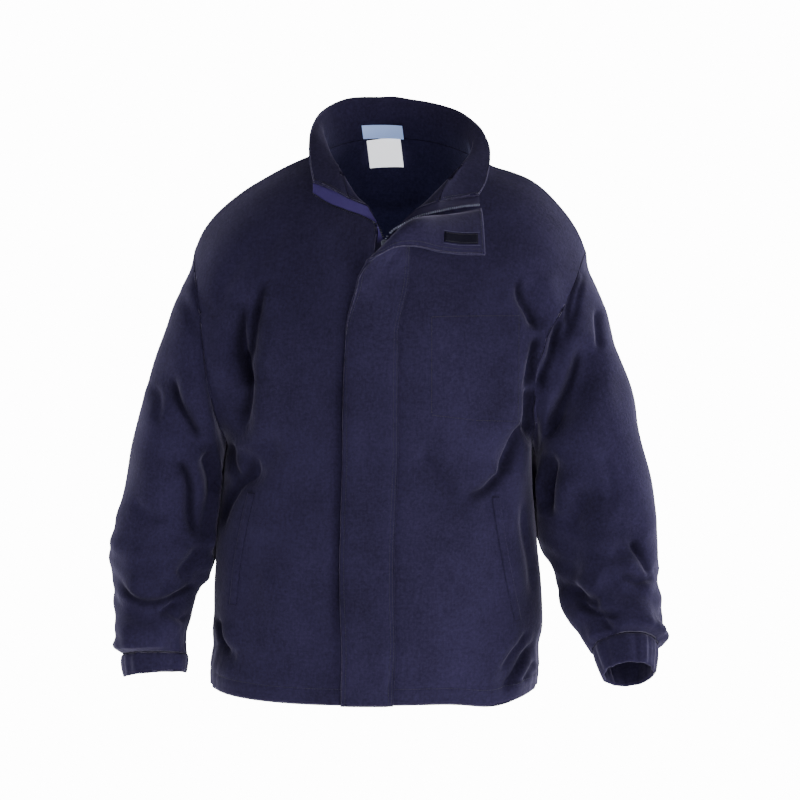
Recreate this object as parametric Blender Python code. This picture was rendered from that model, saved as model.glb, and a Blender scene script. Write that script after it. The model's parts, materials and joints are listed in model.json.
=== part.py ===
"""Fleece zip jacket, a hollow garment in the pose it is worn in, open at the neck.

Units are metres. +Z is up, the fronts face -Y and +X is the wearer's left. The origin lies
midway between the neck points of the shoulders, in line with the shoulder seams.
Every table below is in millimetres, one row for each section, seam point or fold.
"""

import math

import bpy
import numpy as np

MM = 0.001

# Cloth
WALL = 3.0 * MM
HEM_WALL = 5.2 * MM
COLLAR_WALL = 5.0 * MM
CUFF_WALL = 4.6 * MM
FLAP_WALL = 5.0 * MM
SEAM_GAP = 0.3 * MM
COLLAR_GAP = 0.15 * MM
LIFT = 0.4 * MM
HEM_HEIGHT = 23 * MM
SLEEVE_AIR = 5 * MM
CLEAR_FADE = 40 * MM

# How freely the cloth evens out, and along its seams
RELAX_TURNS = 6
NORMAL_TURNS = 1
SHOULDER_SOFT = 0.12
ARMHOLE_SOFT = 0.12

# How far the cloth arches over the shoulder, and how far from the seam it does most
ARCH_RISE = 13 * MM
ARCH_REACH = 48 * MM
ARCH_FROM = 0.32

# Body: the hem is level, and the garment leans a little towards the wearer's right
HEM_Z = -710 * MM
UNDERARM_Z = -384 * MM
SIDE_Y = 4 * MM
ROUNDNESS = 2.35
EDGE_FROM_CENTRE = 11 * MM
CHAIN_HALF = 2.5 * MM

# How finely the cloth is divided, and the direction that settles how a seam's faces are split
SPLIT_TOWARDS = (0.61, 0.27, 0.74)
PANEL_COLUMNS = 14
NECK_COLUMNS = 6
LOWER_ROWS = 12
UPPER_ROWS = 12
SLEEVE_STEPS = 2
FLAP_COLUMNS = 5
COLLAR_ROWS = 4
CUFF_SIDES = 48
CUFF_GATHERS = 16

# height, half width, depth in front, depth behind, centre
BODY_SECTIONS = (
    (-710, 223, 142, 126, -25),
    (-685, 224, 143, 128, -24),
    (-655, 221, 142, 128, -22),
    (-625, 225, 141, 128, -21),
    (-560, 221, 139, 128, -22),
    (-500, 216, 137, 129, -21),
    (-440, 210, 136, 131, -18),
    (-384, 206, 135, 133, -15),
)

# Seam points of the wearer's right half, from the front edge round to the shoulder tip
RIGHT_EDGE_TOP = (
    (-21, -131, -112), (-19, -126, -86), (-21, -116, -64), (-37, -104, -50), (-54, -93, -43),
)
RIGHT_NECK = ((-54, -93, -43), (-60, -80, -26), (-70, -56, -6), (-84, -28, 8), (-97, 0, 14))
RIGHT_SHOULDER = (
    (-97, 0, 14), (-120, 0, 9), (-146, 0, -4), (-174, 0, -20), (-201, 0, -36),
    (-222, 0, -52), (-240, 0, -70), (-254, 0, -90), (-264, 2, -114),
)
RIGHT_ARMHOLE_FRONT = (
    (-264, 2, -114), (-259, -36, -150), (-252, -64, -210), (-246, -72, -270), (-238, -58, -330),
)
RIGHT_ARMHOLE_BACK = (
    (-264, 2, -114), (-258, 42, -148), (-246, 74, -205), (-231, 90, -265), (-223, 70, -330),
)
LEFT_EDGE_TOP = (
    (1, -131, -112), (4, -128, -90), (18, -120, -68), (38, -110, -55), (60, -99, -47),
)
LEFT_NECK = ((60, -99, -47), (66, -84, -32), (82, -56, -13), (99, -28, 2), (112, 0, 8))
LEFT_SHOULDER = (
    (112, 0, 8), (132, 0, 0), (152, 0, -6), (178, 0, -15), (202, 0, -31),
    (222, 0, -51), (240, 0, -73), (253, 0, -95), (261, 2, -116),
)
LEFT_ARMHOLE_FRONT = (
    (261, 2, -116), (250, -28, -137), (238, -52, -166), (222, -74, -192), (202, -92, -222),
    (192, -96, -260), (189, -86, -310), (188, -60, -350),
)
LEFT_ARMHOLE_BACK = (
    (261, 2, -116), (256, 42, -148), (241, 74, -202), (220, 92, -262), (202, 76, -330),
)
BACK_NECK_RIGHT = ((8, 92, 29), (-30, 88, 28), (-66, 66, 23), (-88, 32, 17), (-97, 0, 14))
BACK_NECK_LEFT = ((8, 92, 29), (46, 88, 26), (82, 66, 18), (103, 32, 11), (112, 0, 8))
CENTRE_BACK = ((8, 92, 29), (4, 118, -20), (-2, 134, -90), (-8, 141, -180), (-12, 140, -280))

# Top edge of the collar, from the wearer's right front corner round to the left one
COLLAR_TOP_RIGHT = (
    (-103, -63, -24), (-108, -44, -2), (-110, -22, 20), (-108, 6, 45), (-100, 36, 62),
)
COLLAR_TOP_BACK_RIGHT = ((-100, 36, 62), (-84, 64, 74), (-54, 86, 83), (4, 98, 84))
COLLAR_TOP_LEFT = (
    (114, -64, -41), (123, -50, -26), (129, -28, -4), (130, -2, 20), (119, 30, 44),
)
COLLAR_TOP_BACK_LEFT = ((119, 30, 44), (98, 62, 62), (60, 86, 75), (4, 98, 84))
COLLAR_ROLL = 4 * MM

# The teeth above the slider, where the front edges turn outwards with the collar
CLOSED_BELOW = -90 * MM
RIGHT_TEETH = (
    (-13, -130, -88), (-21, -124, -73), (-37, -114, -64), (-56, -103, -58), (-83, -87, -49),
    (-103, -74, -37),
)
LEFT_TEETH = (
    (0, -131, -84), (12, -127, -76), (34, -118, -64), (59, -106, -58), (88, -90, -54),
    (114, -72, -52),
)

# outer x, outer z, inner x, inner z, outer y, inner y, half depth, forward tilt in degrees
RIGHT_SLEEVE = (
    (-284, -152, -224, -396, -2, -2, 84, 0),
    (-304, -212, -214, -408, -6, 10, 88, 0),
    (-323, -272, -203, -424, -14, 24, 88, 0),
    (-339, -334, -197, -446, -20, 36, 88, 0),
    (-353, -396, -196, -472, -24, 42, 84, 0),
    (-367, -458, -203, -502, -26, 34, 80, 4),
    (-376, -512, -224, -532, -30, 10, 74, 8),
    (-376, -545, -248, -556, -32, -14, 68, 12),
    (-373, -572, -264, -578, -38, -30, 62, 14),
    (-375, -600, -273, -602, -44, -42, 57, 16),
    (-376, -630, -276, -629, -52, -52, 53, 17),
    (-368, -655.1, -274, -654.1, -59.7, -59.7, 46, 18),
)
LEFT_SLEEVE = (
    (276, -152, 194, -394, -4, 0, 86, 0),
    (292, -212, 184, -404, -12, 16, 92, 0),
    (310, -264, 173, -424, -22, 30, 94, 0),
    (324, -322, 169, -448, -30, 38, 93, 0),
    (337, -382, 173, -478, -34, 36, 90, 2),
    (349, -444, 194, -508, -38, 10, 84, 6),
    (357, -500, 213, -540, -44, -18, 77, 14),
    (359, -540, 222, -568, -54, -40, 70, 24),
    (357, -570, 231, -592, -70, -62, 62, 32),
    (358, -600, 248, -614, -88, -86, 54, 38),
    (356, -629.3, 261, -637.3, -109.4, -109.4, 46, 41),
)
RIGHT_CUFF = (
    (-364, -656, -273, -655, -60, -60, 44, 18),
    (-363, -670, -274, -668, -64, -64, 43, 18),
    (-361, -687, -275, -681, -68, -68, 42, 18),
)
LEFT_CUFF = (
    (352, -630, 264, -638, -110, -110, 42, 41),
    (350, -644, 270, -652, -122, -122, 40, 41),
    (348, -664, 276, -668, -136, -136, 38, 41),
)

# Upper end of the storm flap. Sewn edge x, y, z, free edge x, y, z, rise of the roll between them
FLAP_TURN = (
    (22, -139, -152, -47, -147, -158, 3),
    (24, -138, -128, -42, -153, -139, 8),
    (24, -137, -112, -29, -160, -121, 14),
    (24, -135, -96, -4, -167, -103, 20),
    (30, -129, -82, 14, -168, -98, 22),
    (42, -122, -72, 34, -162, -100, 20),
    (62, -112, -66, 58, -151, -107, 14),
    (88, -98, -62, 86, -138, -112, 9),
    (117, -80, -57, 120, -124, -114, 6),
)
FLAP_SEWN_AT_HEM = 27 * MM
FLAP_SEWN_AT_TOP = 22 * MM
FLAP_FREE_AT_HEM = 43 * MM
FLAP_FREE_AT_TOP = 51 * MM
FLAP_AIR = 1.2 * MM
FLAP_SEWN_WALL = 2.4 * MM
FLAP_FLAT_TOP_Z = -215 * MM

# Folds. Which cloth, x and z of its two ends and of a point between, depth, reach to each side.
# A minus depth stands out as a ridge.
FOLDS = (
    ("front", -202, -190, -199, -290, -204, -372, 25, 20),
    ("front", -182, -168, -176, -205, -192, -260, 13, 18),
    ("front", 170, -150, 182, -178, 196, -214, 17, 17),
    ("front", 187, -240, 188, -310, 190, -380, 20, 18),
    ("front", -150, -345, -178, -405, -206, -430, 12, 17),
    ("front", -202, -372, -190, -396, -176, -420, 10, 14),
    ("front", 172, -340, 150, -384, 138, -402, 16, 20),
    ("front", 30, -362, 62, -412, 112, -450, 9, 20),
    ("front", 112, -450, 134, -436, 142, -405, 9, 19),
    ("front", -160, -470, -185, -530, -200, -600, 7, 22),
    ("front", 176, -640, 158, -668, 140, -690, 9, 14),
    ("front", -236, -640, -222, -650, -205, -655, 7, 14),
    ("back", -196, -180, -192, -270, -206, -372, 22, 24),
    ("back", 186, -190, 184, -280, 190, -372, 22, 24),
    ("back", -120, -330, -60, -372, -10, -384, 9, 27),
    ("back", 120, -350, 60, -400, 0, -420, 9, 27),
    ("back", -196, -430, -150, -470, -100, -480, 9, 24),
    ("back", 180, -450, 140, -500, 90, -520, 9, 24),
    ("back", 176, -640, 150, -664, 120, -690, 7, 17),
    ("right sleeve front", -304, -272, -286, -322, -252, -384, 14, 20),
    ("right sleeve front", -252, -384, -238, -414, -226, -438, 13, 17),
    ("right sleeve front", -296, -360, -276, -420, -272, -496, 13, 19),
    ("right sleeve front", -268, -548, -288, -556, -310, -552, 13, 18),
    ("right sleeve front", -366, -578, -326, -594, -262, -576, 14, 17),
    ("right sleeve back", -310, -300, -284, -360, -244, -420, 13, 22),
    ("right sleeve back", -360, -480, -320, -500, -270, -492, 14, 22),
    ("right sleeve back", -368, -556, -320, -572, -270, -560, 13, 19),
    ("left sleeve front", 218, -205, 214, -262, 196, -300, 17, 17),
    ("left sleeve front", 260, -222, 246, -286, 206, -362, 20, 20),
    ("left sleeve front", 228, -384, 208, -420, 200, -470, 16, 18),
    ("left sleeve front", 264, -420, 246, -462, 230, -486, 12, 22),
    ("left sleeve front", 330, -495, 306, -506, 290, -500, 9, 17),
    ("left sleeve front", 336, -548, 306, -556, 276, -540, 10, 17),
    ("left sleeve front", 222, -550, 250, -584, 300, -604, 14, 17),
    ("left sleeve back", 296, -290, 262, -352, 214, -410, 13, 22),
    ("left sleeve back", 348, -470, 300, -500, 240, -492, 14, 22),
    ("left sleeve back", 350, -548, 308, -570, 262, -568, 8, 25),
)
FOLD_FADE = 0.16

# Trim. Each line of places is x and z
LABEL_THICK = 0.7 * MM
PATCH_THICK = 1.3 * MM
PATCH_AIR = 0.7 * MM
WELT_THICK = 1.2 * MM
WELT_HALF = 5 * MM
WELT_AIR = 1.7 * MM
TAPE_THICK = 1.4 * MM
TAPE_GAP = 1.3 * MM
TEETH_THICK = 2.6 * MM
TEETH_WIDE = 2.2 * MM
RIGHT_POCKET = ((-186, -432), (-197, -480), (-206, -530), (-212, -585))
LEFT_POCKET = ((137, -436), (145, -488), (156, -548), (168, -606))
NECK_LABEL_X = (-42, 15)
NECK_LABEL_UP = (1 * MM, 19 * MM)
CARE_LABEL_X = (-34, 17.6)
CARE_LABEL_DROP = (3.5 * MM, 40 * MM)
CARE_LABEL_BACK = 1.4 * MM
CARE_LABEL_AWAY = 4 * MM
PATCH_FROM_CORNER = (11 * MM, 56 * MM)
PATCH_ACROSS = (0.14, 0.4)

# Slider and pull tab
SLIDER_WIDE = 8 * MM
SLIDER_TALL = 9 * MM
SLIDER_PLATE = 1.2 * MM
SLIDER_AIR = 0.45 * MM
CHAIN_AIR = 2.2 * MM
POST_WIDE = 2.8 * MM
POST_TALL = 2 * MM
EAR_WIDE = 1.0 * MM
EAR_TALL = 3.2 * MM
PIN_RADIUS = 0.7 * MM
PIN_OUT = 2.3 * MM
EYE_HOLE = 1.0 * MM
EYE_RADIUS = 1.9 * MM
PULL_WIDE = 3.8 * MM
PULL_LONG = 24 * MM
PULL_THICK = 1.2 * MM
ROUND_SIDES = 16


# ---------------------------------------------------------------- lines and sections


def through(points, steps=10):
    """A smooth line through the given points, as many short steps."""
    p = np.array(points, float)
    p = np.concatenate([2 * p[:1] - p[1:2], p, 2 * p[-1:] - p[-2:-1]])
    t = np.linspace(0, 1, steps, endpoint=False).reshape((-1,) + (1,) * (p.ndim - 1))
    spans = []
    for a, b, c, d in zip(p, p[1:], p[2:], p[3:]):
        spans.append(0.5 * (2 * b + (c - a) * t + (2 * a - 5 * b + 4 * c - d) * t**2
                            + (3 * b - a - 3 * c + d) * t**3))
    return np.concatenate(spans + [p[-2:-1]])


def spaced(line, count):
    """That many points at equal distances along a line."""
    step = np.linalg.norm(np.diff(line, axis=0), axis=1)
    length = np.concatenate([[0], np.cumsum(step)])
    at = np.linspace(0, length[-1], count)
    return np.stack([np.interp(at, length, column) for column in line.T], axis=1)


def seam(points, count):
    """A seam through points given in millimetres."""
    return spaced(through(np.array(points) * MM), count)


def unit(vectors):
    return vectors / np.maximum(np.linalg.norm(vectors, axis=-1, keepdims=True), 1e-12)


def body_sizes(z):
    """Half width, depth in front, depth behind and centre of the body at a height."""
    table = through(BODY_SECTIONS) * MM
    return [np.interp(z, table[:, 0], table[:, column]) for column in range(1, 5)]


def quarter(z, side, face, count):
    """A quarter of the body's section, from its centre line or front edge to the side seam."""
    half_width, front, behind, centre = body_sizes(z)
    depth = front if face < 0 else behind
    angle = np.linspace(0, math.pi / 2, 160)
    x = side * half_width * np.sin(angle) ** (2 / ROUNDNESS)
    y = SIDE_Y + face * (depth + face * SIDE_Y) * np.cos(angle) ** (2 / ROUNDNESS)
    line = np.stack([x, y, np.full_like(x, z)], axis=1)
    if face < 0:
        line = line[np.abs(x) > EDGE_FROM_CENTRE]
        line = np.vstack([[side * EDGE_FROM_CENTRE, line[0, 1], z], line])
    line[:, 0] += centre
    return spaced(line, count)


def patch(bottom, top, inner, outer):
    """A surface that meets four edges: bottom and top run outwards, inner and outer run up."""
    u = np.linspace(0, 1, len(bottom))[None, :, None]
    v = np.linspace(0, 1, len(inner))[:, None, None]
    across = (1 - v) * bottom[None] + v * top[None]
    along = (1 - u) * inner[:, None] + u * outer[:, None]
    corners = ((1 - u) * (1 - v) * bottom[0] + u * (1 - v) * bottom[-1]
               + (1 - u) * v * top[0] + u * v * top[-1])
    return across + along - corners


def body_quarter(side, face, edge_top, neck, shoulder, armhole):
    """Rows of a front or half back, from the hem to the neck and shoulder seam."""
    heights = np.linspace(HEM_Z, UNDERARM_Z, LOWER_ROWS + 1)
    lower = np.stack([quarter(z, side, face, PANEL_COLUMNS + 1) for z in heights])
    bottom = lower[-1]
    neck_line = seam(neck, NECK_COLUMNS + 1)
    shoulder_line = seam(shoulder, PANEL_COLUMNS - NECK_COLUMNS + 1)
    top = np.vstack([neck_line, shoulder_line[1:]])
    edge = np.vstack([bottom[:1], np.array(edge_top) * MM])
    inner = spaced(through(edge), UPPER_ROWS + 1)
    hole = np.vstack([np.array(armhole) * MM, bottom[-1:]])
    outer = spaced(through(hole), UPPER_ROWS + 1)[::-1]
    upper = patch(bottom, top, inner, outer)
    return np.concatenate([lower[:-1], arched(upper, face)])


def arched(upper, face):
    """Rounds the cloth over the shoulder, so that front and back meet in an arch."""
    outwards = own_normals(upper)
    outwards *= np.sign(outwards @ np.array((0, face, 0.5)))[..., None]
    away = np.linalg.norm(upper - upper[-1:], axis=-1) / ARCH_REACH
    across = np.linspace(0, 1, upper.shape[1])
    share = np.sin(math.pi * np.clip((across - ARCH_FROM) / (1 - ARCH_FROM), 0, 1)) ** 0.6
    return upper + outwards * (ARCH_RISE * away * np.exp(1 - away) * share)[..., None]


def loop_of(row, count):
    """A sleeve or cuff section: starts on the outer side and runs by the front and the inside."""
    outer_x, outer_z, inner_x, inner_z, outer_y, inner_y, half_depth, tilt = row
    outer = np.array((outer_x, outer_y, outer_z)) * MM
    inner = np.array((inner_x, inner_y, inner_z)) * MM
    forward = np.array((0, -math.cos(math.radians(tilt)), math.sin(math.radians(tilt))))
    angle = np.linspace(0, 2 * math.pi, count, endpoint=False)[:, None]
    return ((outer + inner) / 2 + (outer - inner) / 2 * np.cos(angle)
            + forward * half_depth * MM * np.sin(angle))


def clear_of_body(points, air):
    """Moves sleeve points that would enter the body out to just clear of it, softly towards the armhole."""
    half_width, front, behind, centre = body_sizes(points[..., 2])
    x = points[..., 0] - centre
    y = points[..., 1] - SIDE_Y
    depth = np.where(y < 0, front + SIDE_Y, behind - SIDE_Y)
    ratio = ((np.abs(x) / (half_width + air)) ** ROUNDNESS
             + (np.abs(y) / (depth + air)) ** ROUNDNESS) ** (1 / ROUNDNESS)
    share = np.clip((UNDERARM_Z + CLEAR_FADE - points[..., 2]) / CLEAR_FADE, 0, 1)
    grow = 1 + (1 / np.minimum(ratio, 1) - 1) * share
    moved = points.copy()
    moved[..., 0] = centre + x * grow
    moved[..., 1] = SIDE_Y + y * grow
    return moved


def sleeve_rows(front, back, table):
    """Rows of a sleeve, from the armhole seam, which it shares with the body, to the cuff seam."""
    hole_front = front[LOWER_ROWS:, -1][::-1]
    hole_back = back[LOWER_ROWS:, -1]
    hole = np.vstack([hole_front, hole_back[1:-1]])
    sections = [hole] + [loop_of(row, len(hole)) for row in table]
    rows = through(np.stack(sections), SLEEVE_STEPS)
    rows[1:] = clear_of_body(rows[1:], SLEEVE_AIR)
    return rows


def collar_rows(base, top):
    """Rows of the collar from the neck seam to its top edge, rolled outwards a little."""
    t = np.linspace(0, 1, COLLAR_ROWS + 1)[:, None, None]
    middle = (base + top) / 2 * (1, 1, 0)
    outwards = unit(middle - middle.mean(axis=0))
    return base[None] * (1 - t) + top[None] * t - outwards[None] * COLLAR_ROLL * 4 * t * (1 - t)


def keys_of(grids):
    """One number for each place that grid points share, for every point of every grid."""
    points = np.concatenate([grid.reshape(-1, 3) for grid in grids])
    rounded = np.round(points / (0.01 * MM)).astype(np.int64)
    return np.unique(rounded, axis=0, return_inverse=True)[1].reshape(-1)


def links_of(grids, keys):
    """Each pair of places that are neighbours in some grid, both ways round."""
    links = []
    start = 0
    for grid, round_it in grids:
        number = keys[start:start + grid.shape[0] * grid.shape[1]].reshape(grid.shape[:2])
        start += number.size
        links.append(np.stack([number[:-1].ravel(), number[1:].ravel()], axis=1))
        beside = np.roll(number, -1, axis=1) if round_it else number[:, 1:]
        here = number if round_it else number[:, :-1]
        links.append(np.stack([here.ravel(), beside.ravel()], axis=1))
    links = np.unique(np.sort(np.concatenate(links), axis=1), axis=0)
    return np.concatenate([links, links[:, ::-1]])


def evened(grids, values, softness, turns):
    """Moves the value at each place towards its neighbours' mean, as far as its softness, turn by turn."""
    keys = keys_of([grid for grid, _ in grids])
    both = links_of(grids, keys)
    place = np.zeros((keys.max() + 1, 3))
    place[keys] = np.concatenate([value.reshape(-1, 3) for value in values])
    soft = np.ones(len(place))
    np.minimum.at(soft, keys, np.concatenate([part.reshape(-1) for part in softness]))
    degree = np.bincount(both[:, 0], minlength=len(place))[:, None]
    for _ in range(turns):
        total = np.zeros_like(place)
        np.add.at(total, both[:, 0], place[both[:, 1]])
        place += (total / degree - place) * soft[:, None] * 0.5
    sizes = [grid.shape[0] * grid.shape[1] for grid, _ in grids]
    parts = np.split(place[keys], np.cumsum(sizes)[:-1])
    return [part.reshape(grid.shape) for part, (grid, _) in zip(parts, grids)]


def wall_directions(cloth):
    """The direction of each wall's thickness, turning softly so that sharp turns don't cross."""
    grids = list(cloth.values())
    whole = [np.ones(grid.shape[:2]) for grid, _ in grids]
    smooth = evened(grids, shared_normals(grids), whole, NORMAL_TURNS)
    return {name: unit(way) for name, way in zip(cloth, smooth)}


# ---------------------------------------------------------------- folds


def fold_depth(points, cloth):
    """How far the folds of one cloth push each of its points inwards."""
    depth = np.zeros(points.shape[:-1])
    x, z = points[..., 0], points[..., 2]
    for name, x0, z0, x1, z1, x2, z2, deep, reach in FOLDS:
        if name != cloth:
            continue
        line = spaced(through(np.array(((x0, z0), (x1, z1), (x2, z2))) * MM), 25)
        away = np.hypot(x[..., None] - line[:, 0], z[..., None] - line[:, 1])
        nearest = away.argmin(axis=-1)
        distance = away.min(axis=-1) / (reach * MM)
        along = nearest / (len(line) - 1)
        fade = np.clip(np.minimum(along, 1 - along) / FOLD_FADE, 0.25, 1)
        trough = np.exp(-(distance**2)) - 0.35 * np.exp(-((distance - 1.9) ** 2))
        depth += deep * MM * fade * trough
    return depth


def shared_normals(grids):
    """The cloth's own directions at each grid point, the same on both sides of every seam."""
    points, normals = [], []
    for grid, round_it in grids:
        left = grid if round_it else grid[:, :-1]
        right = np.roll(grid, -1, axis=1) if round_it else grid[:, 1:]
        corners = (left[:-1], right[:-1], right[1:], left[1:])
        normal = np.cross(corners[2] - corners[0], corners[3] - corners[1])
        points += [corner.reshape(-1, 3) for corner in corners]
        normals += [normal.reshape(-1, 3)] * 4
    sizes = [grid.shape[0] * grid.shape[1] for grid, _ in grids]
    points += [grid.reshape(-1, 3) for grid, _ in grids]
    keys = np.round(np.concatenate(points) / (0.01 * MM)).astype(np.int64)
    _, index = np.unique(keys, axis=0, return_inverse=True)
    index = index.reshape(-1)
    total = np.zeros((index.max() + 1, 3))
    faces = sum(len(normal) for normal in normals)
    np.add.at(total, index[:faces], np.concatenate(normals))
    parts = np.split(total[index[faces:]], np.cumsum(sizes)[:-1])
    return [unit(part).reshape(grid.shape) for part, (grid, _) in zip(parts, grids)]


# ---------------------------------------------------------------- solids


def material(name, colour, roughness, metallic=0.0):
    """A plain finish: sRGB colour from 0 to 255, roughness and metallic."""
    made = bpy.data.materials.new(name)
    made.use_nodes = True
    shader = made.node_tree.nodes["Principled BSDF"]
    linear = [(c / 255 / 12.92) if c < 11 else ((c / 255 + 0.055) / 1.055) ** 2.4 for c in colour]
    shader.inputs["Base Color"].default_value = (*linear, 1)
    shader.inputs["Roughness"].default_value = roughness
    shader.inputs["Metallic"].default_value = metallic
    return made


def solid(name, points, faces, finish):
    mesh = bpy.data.meshes.new(name)
    mesh.from_pydata([tuple(p) for p in points], [], [tuple(int(i) for i in f) for f in faces])
    mesh.update()
    mesh.materials.append(finish)
    mesh.shade_smooth()
    mesh.set_sharp_from_angle(angle=math.radians(50))
    made = bpy.data.objects.new(name, mesh)
    bpy.context.scene.collection.objects.link(made)
    return made


def drawn_in(grid, sides, gap, round_it):
    """The shift that pulls the named edges of a panel back from its seams, for every point."""
    shift = np.zeros_like(grid)

    def square_to(edge, inner):
        along = unit(np.gradient(edge, axis=0))
        back = inner - edge
        return unit(back - along * (back * along).sum(axis=-1, keepdims=True)) * gap

    if "bottom" in sides:
        shift[0] += square_to(grid[0], grid[1])
    if "top" in sides:
        shift[-1] += square_to(grid[-1], grid[-2])
    if not round_it and "first" in sides:
        shift[:, 0] += square_to(grid[:, 0], grid[:, 1])
    if not round_it and "last" in sides:
        shift[:, -1] += square_to(grid[:, -1], grid[:, -2])
    return shift


def edge_faces(points, outer_a, outer_b, inner_b, inner_a):
    """The end of a wall between two columns, split so that both sides of a seam split alike."""
    if np.dot(points[outer_b] - points[outer_a], SPLIT_TOWARDS) > 0:
        return [(outer_a, outer_b, inner_b), (outer_a, inner_b, inner_a)]
    return [(outer_a, outer_b, inner_a), (outer_b, inner_b, inner_a)]


def wall(name, grid, normals, thick, finish, sides="", round_it=False, outer=0.0, gap=SEAM_GAP / 2):
    """A closed wall of cloth on a grid of outer points. A round one joins its last column to its first."""
    rows, columns = grid.shape[:2]
    thick = np.asarray(thick, float)
    thick = np.broadcast_to(thick.reshape(thick.shape + (1,) * (3 - thick.ndim)), (rows, columns, 1))
    shift = drawn_in(grid, sides, gap, round_it)
    outside = grid + shift + normals * outer
    inside = outside - normals * thick
    points = np.concatenate([outside.reshape(-1, 3), inside.reshape(-1, 3)])
    count = rows * columns

    def at(r, c, layer):
        return layer * count + r * columns + c % columns

    faces = []
    wide = columns if round_it else columns - 1
    last, end = rows - 1, columns - 1
    for r in range(last):
        for c in range(wide):
            faces.append((at(r, c, 0), at(r, c + 1, 0), at(r + 1, c + 1, 0), at(r + 1, c, 0)))
            faces.append((at(r, c, 1), at(r + 1, c, 1), at(r + 1, c + 1, 1), at(r, c + 1, 1)))
    for c in range(wide):
        faces += edge_faces(points, at(0, c + 1, 0), at(0, c, 0), at(0, c, 1), at(0, c + 1, 1))
        faces += edge_faces(points, at(last, c, 0), at(last, c + 1, 0), at(last, c + 1, 1),
                            at(last, c, 1))
    for r in range(last if not round_it else 0):
        faces += edge_faces(points, at(r, 0, 0), at(r + 1, 0, 0), at(r + 1, 0, 1), at(r, 0, 1))
        faces += edge_faces(points, at(r + 1, end, 0), at(r, end, 0), at(r, end, 1),
                            at(r + 1, end, 1))
    return solid(name, points, faces, finish)


def own_normals(grid, round_it=False):
    return shared_normals([(grid, round_it)])[0]


# ---------------------------------------------------------------- garment


def base_cloth():
    """The cloth surfaces without folds, as grids whose columns and rows turn outwards."""
    right_front = body_quarter(-1, -1, RIGHT_EDGE_TOP, RIGHT_NECK, RIGHT_SHOULDER,
                               RIGHT_ARMHOLE_FRONT)
    left_front = body_quarter(1, -1, LEFT_EDGE_TOP, LEFT_NECK, LEFT_SHOULDER, LEFT_ARMHOLE_FRONT)
    right_back = body_quarter(-1, 1, CENTRE_BACK[::-1], BACK_NECK_RIGHT, RIGHT_SHOULDER,
                              RIGHT_ARMHOLE_BACK)
    left_back = body_quarter(1, 1, CENTRE_BACK[::-1], BACK_NECK_LEFT, LEFT_SHOULDER,
                             LEFT_ARMHOLE_BACK)
    right_sleeve = sleeve_rows(right_front, right_back, RIGHT_SLEEVE)
    left_sleeve = sleeve_rows(left_front, left_back, LEFT_SLEEVE)
    each = NECK_COLUMNS + 1
    base = np.vstack([left_front[-1, :each], left_back[-1, :each][::-1][1:],
                      right_back[-1, 1:each], right_front[-1, :each][::-1][1:]])
    top = np.vstack([seam(COLLAR_TOP_LEFT, each), seam(COLLAR_TOP_BACK_LEFT, each)[1:],
                     seam(COLLAR_TOP_BACK_RIGHT, each)[::-1][1:],
                     seam(COLLAR_TOP_RIGHT, each)[::-1][1:]])
    grids = {
        "front_right": (right_front[:, ::-1], False),
        "front_left": (left_front, False),
        "back": (np.concatenate([left_back[:, ::-1], right_back[:, 1:]], axis=1), False),
        "sleeve_right": (right_sleeve[::-1], True),
        "sleeve_left": (left_sleeve, True),
        "collar": (collar_rows(base, top), False),
    }
    smooth = evened(list(grids.values()), [grid for grid, _ in grids.values()], softness_of(grids),
                    RELAX_TURNS)
    return {name: (grid, grids[name][1]) for name, grid in zip(grids, smooth)}


FOLDED_CLOTHS = {
    "front_right": ("front",), "front_left": ("front",), "back": ("back",),
    "sleeve_right": ("right sleeve front", "right sleeve back"),
    "sleeve_left": ("left sleeve front", "left sleeve back"), "collar": (),
}


def folds_at(name, grid, normals):
    """How far the folds push each point of one cloth inwards: those of its front face, then its back face."""
    depth = np.zeros(grid.shape[:2])
    for cloth in FOLDED_CLOTHS[name]:
        side = normals[..., 1] if "back" in cloth else -normals[..., 1]
        depth += fold_depth(grid, cloth) * np.clip(side * 2 + 0.4, 0, 1)
    return depth


def garment_cloth():
    """The cloth surfaces with their folds."""
    grids = base_cloth()
    normals = dict(zip(grids, shared_normals(list(grids.values()))))
    folded = {}
    for name, (grid, round_it) in grids.items():
        moved = grid - normals[name] * folds_at(name, grid, normals[name])[..., None]
        folded[name] = (clear_of_body(moved, SLEEVE_AIR) if round_it else moved, round_it)
    for sleeve, front, side in (("sleeve_right", "front_right", 0), ("sleeve_left", "front_left", -1)):
        join_seams(folded, sleeve, front, side)
    return folded


def softness_of(grids):
    """How far each point may even out: none at hems, edges and neck, a little along the seams."""
    parts = []
    for name, (grid, _) in grids.items():
        soft = np.zeros(grid.shape[:2])
        if name in ("front_right", "front_left", "back"):
            up = np.arange(grid.shape[0]) - (LOWER_ROWS - 3)
            soft[:] = np.clip(up / 3, 0, 1)[:, None]
            soft[-1] = SHOULDER_SOFT
            neck = slice(0, NECK_COLUMNS + 1)
            if name == "front_left":
                soft[-1, neck] = 0
                soft[:, 0] = 0
            elif name == "front_right":
                soft[-1, ::-1][neck] = 0
                soft[:, -1] = 0
            else:
                half = grid.shape[1] // 2
                soft[-1, half - NECK_COLUMNS:half + NECK_COLUMNS + 1] = 0
        elif name.startswith("sleeve"):
            rows = np.arange(grid.shape[0])
            if name == "sleeve_right":
                rows = rows[::-1]
            soft[:] = np.clip(1 - (rows - 4) / 4, 0, 1)[:, None]
            soft[rows == 0] = ARMHOLE_SOFT
        parts.append(soft)
    return parts


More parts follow.
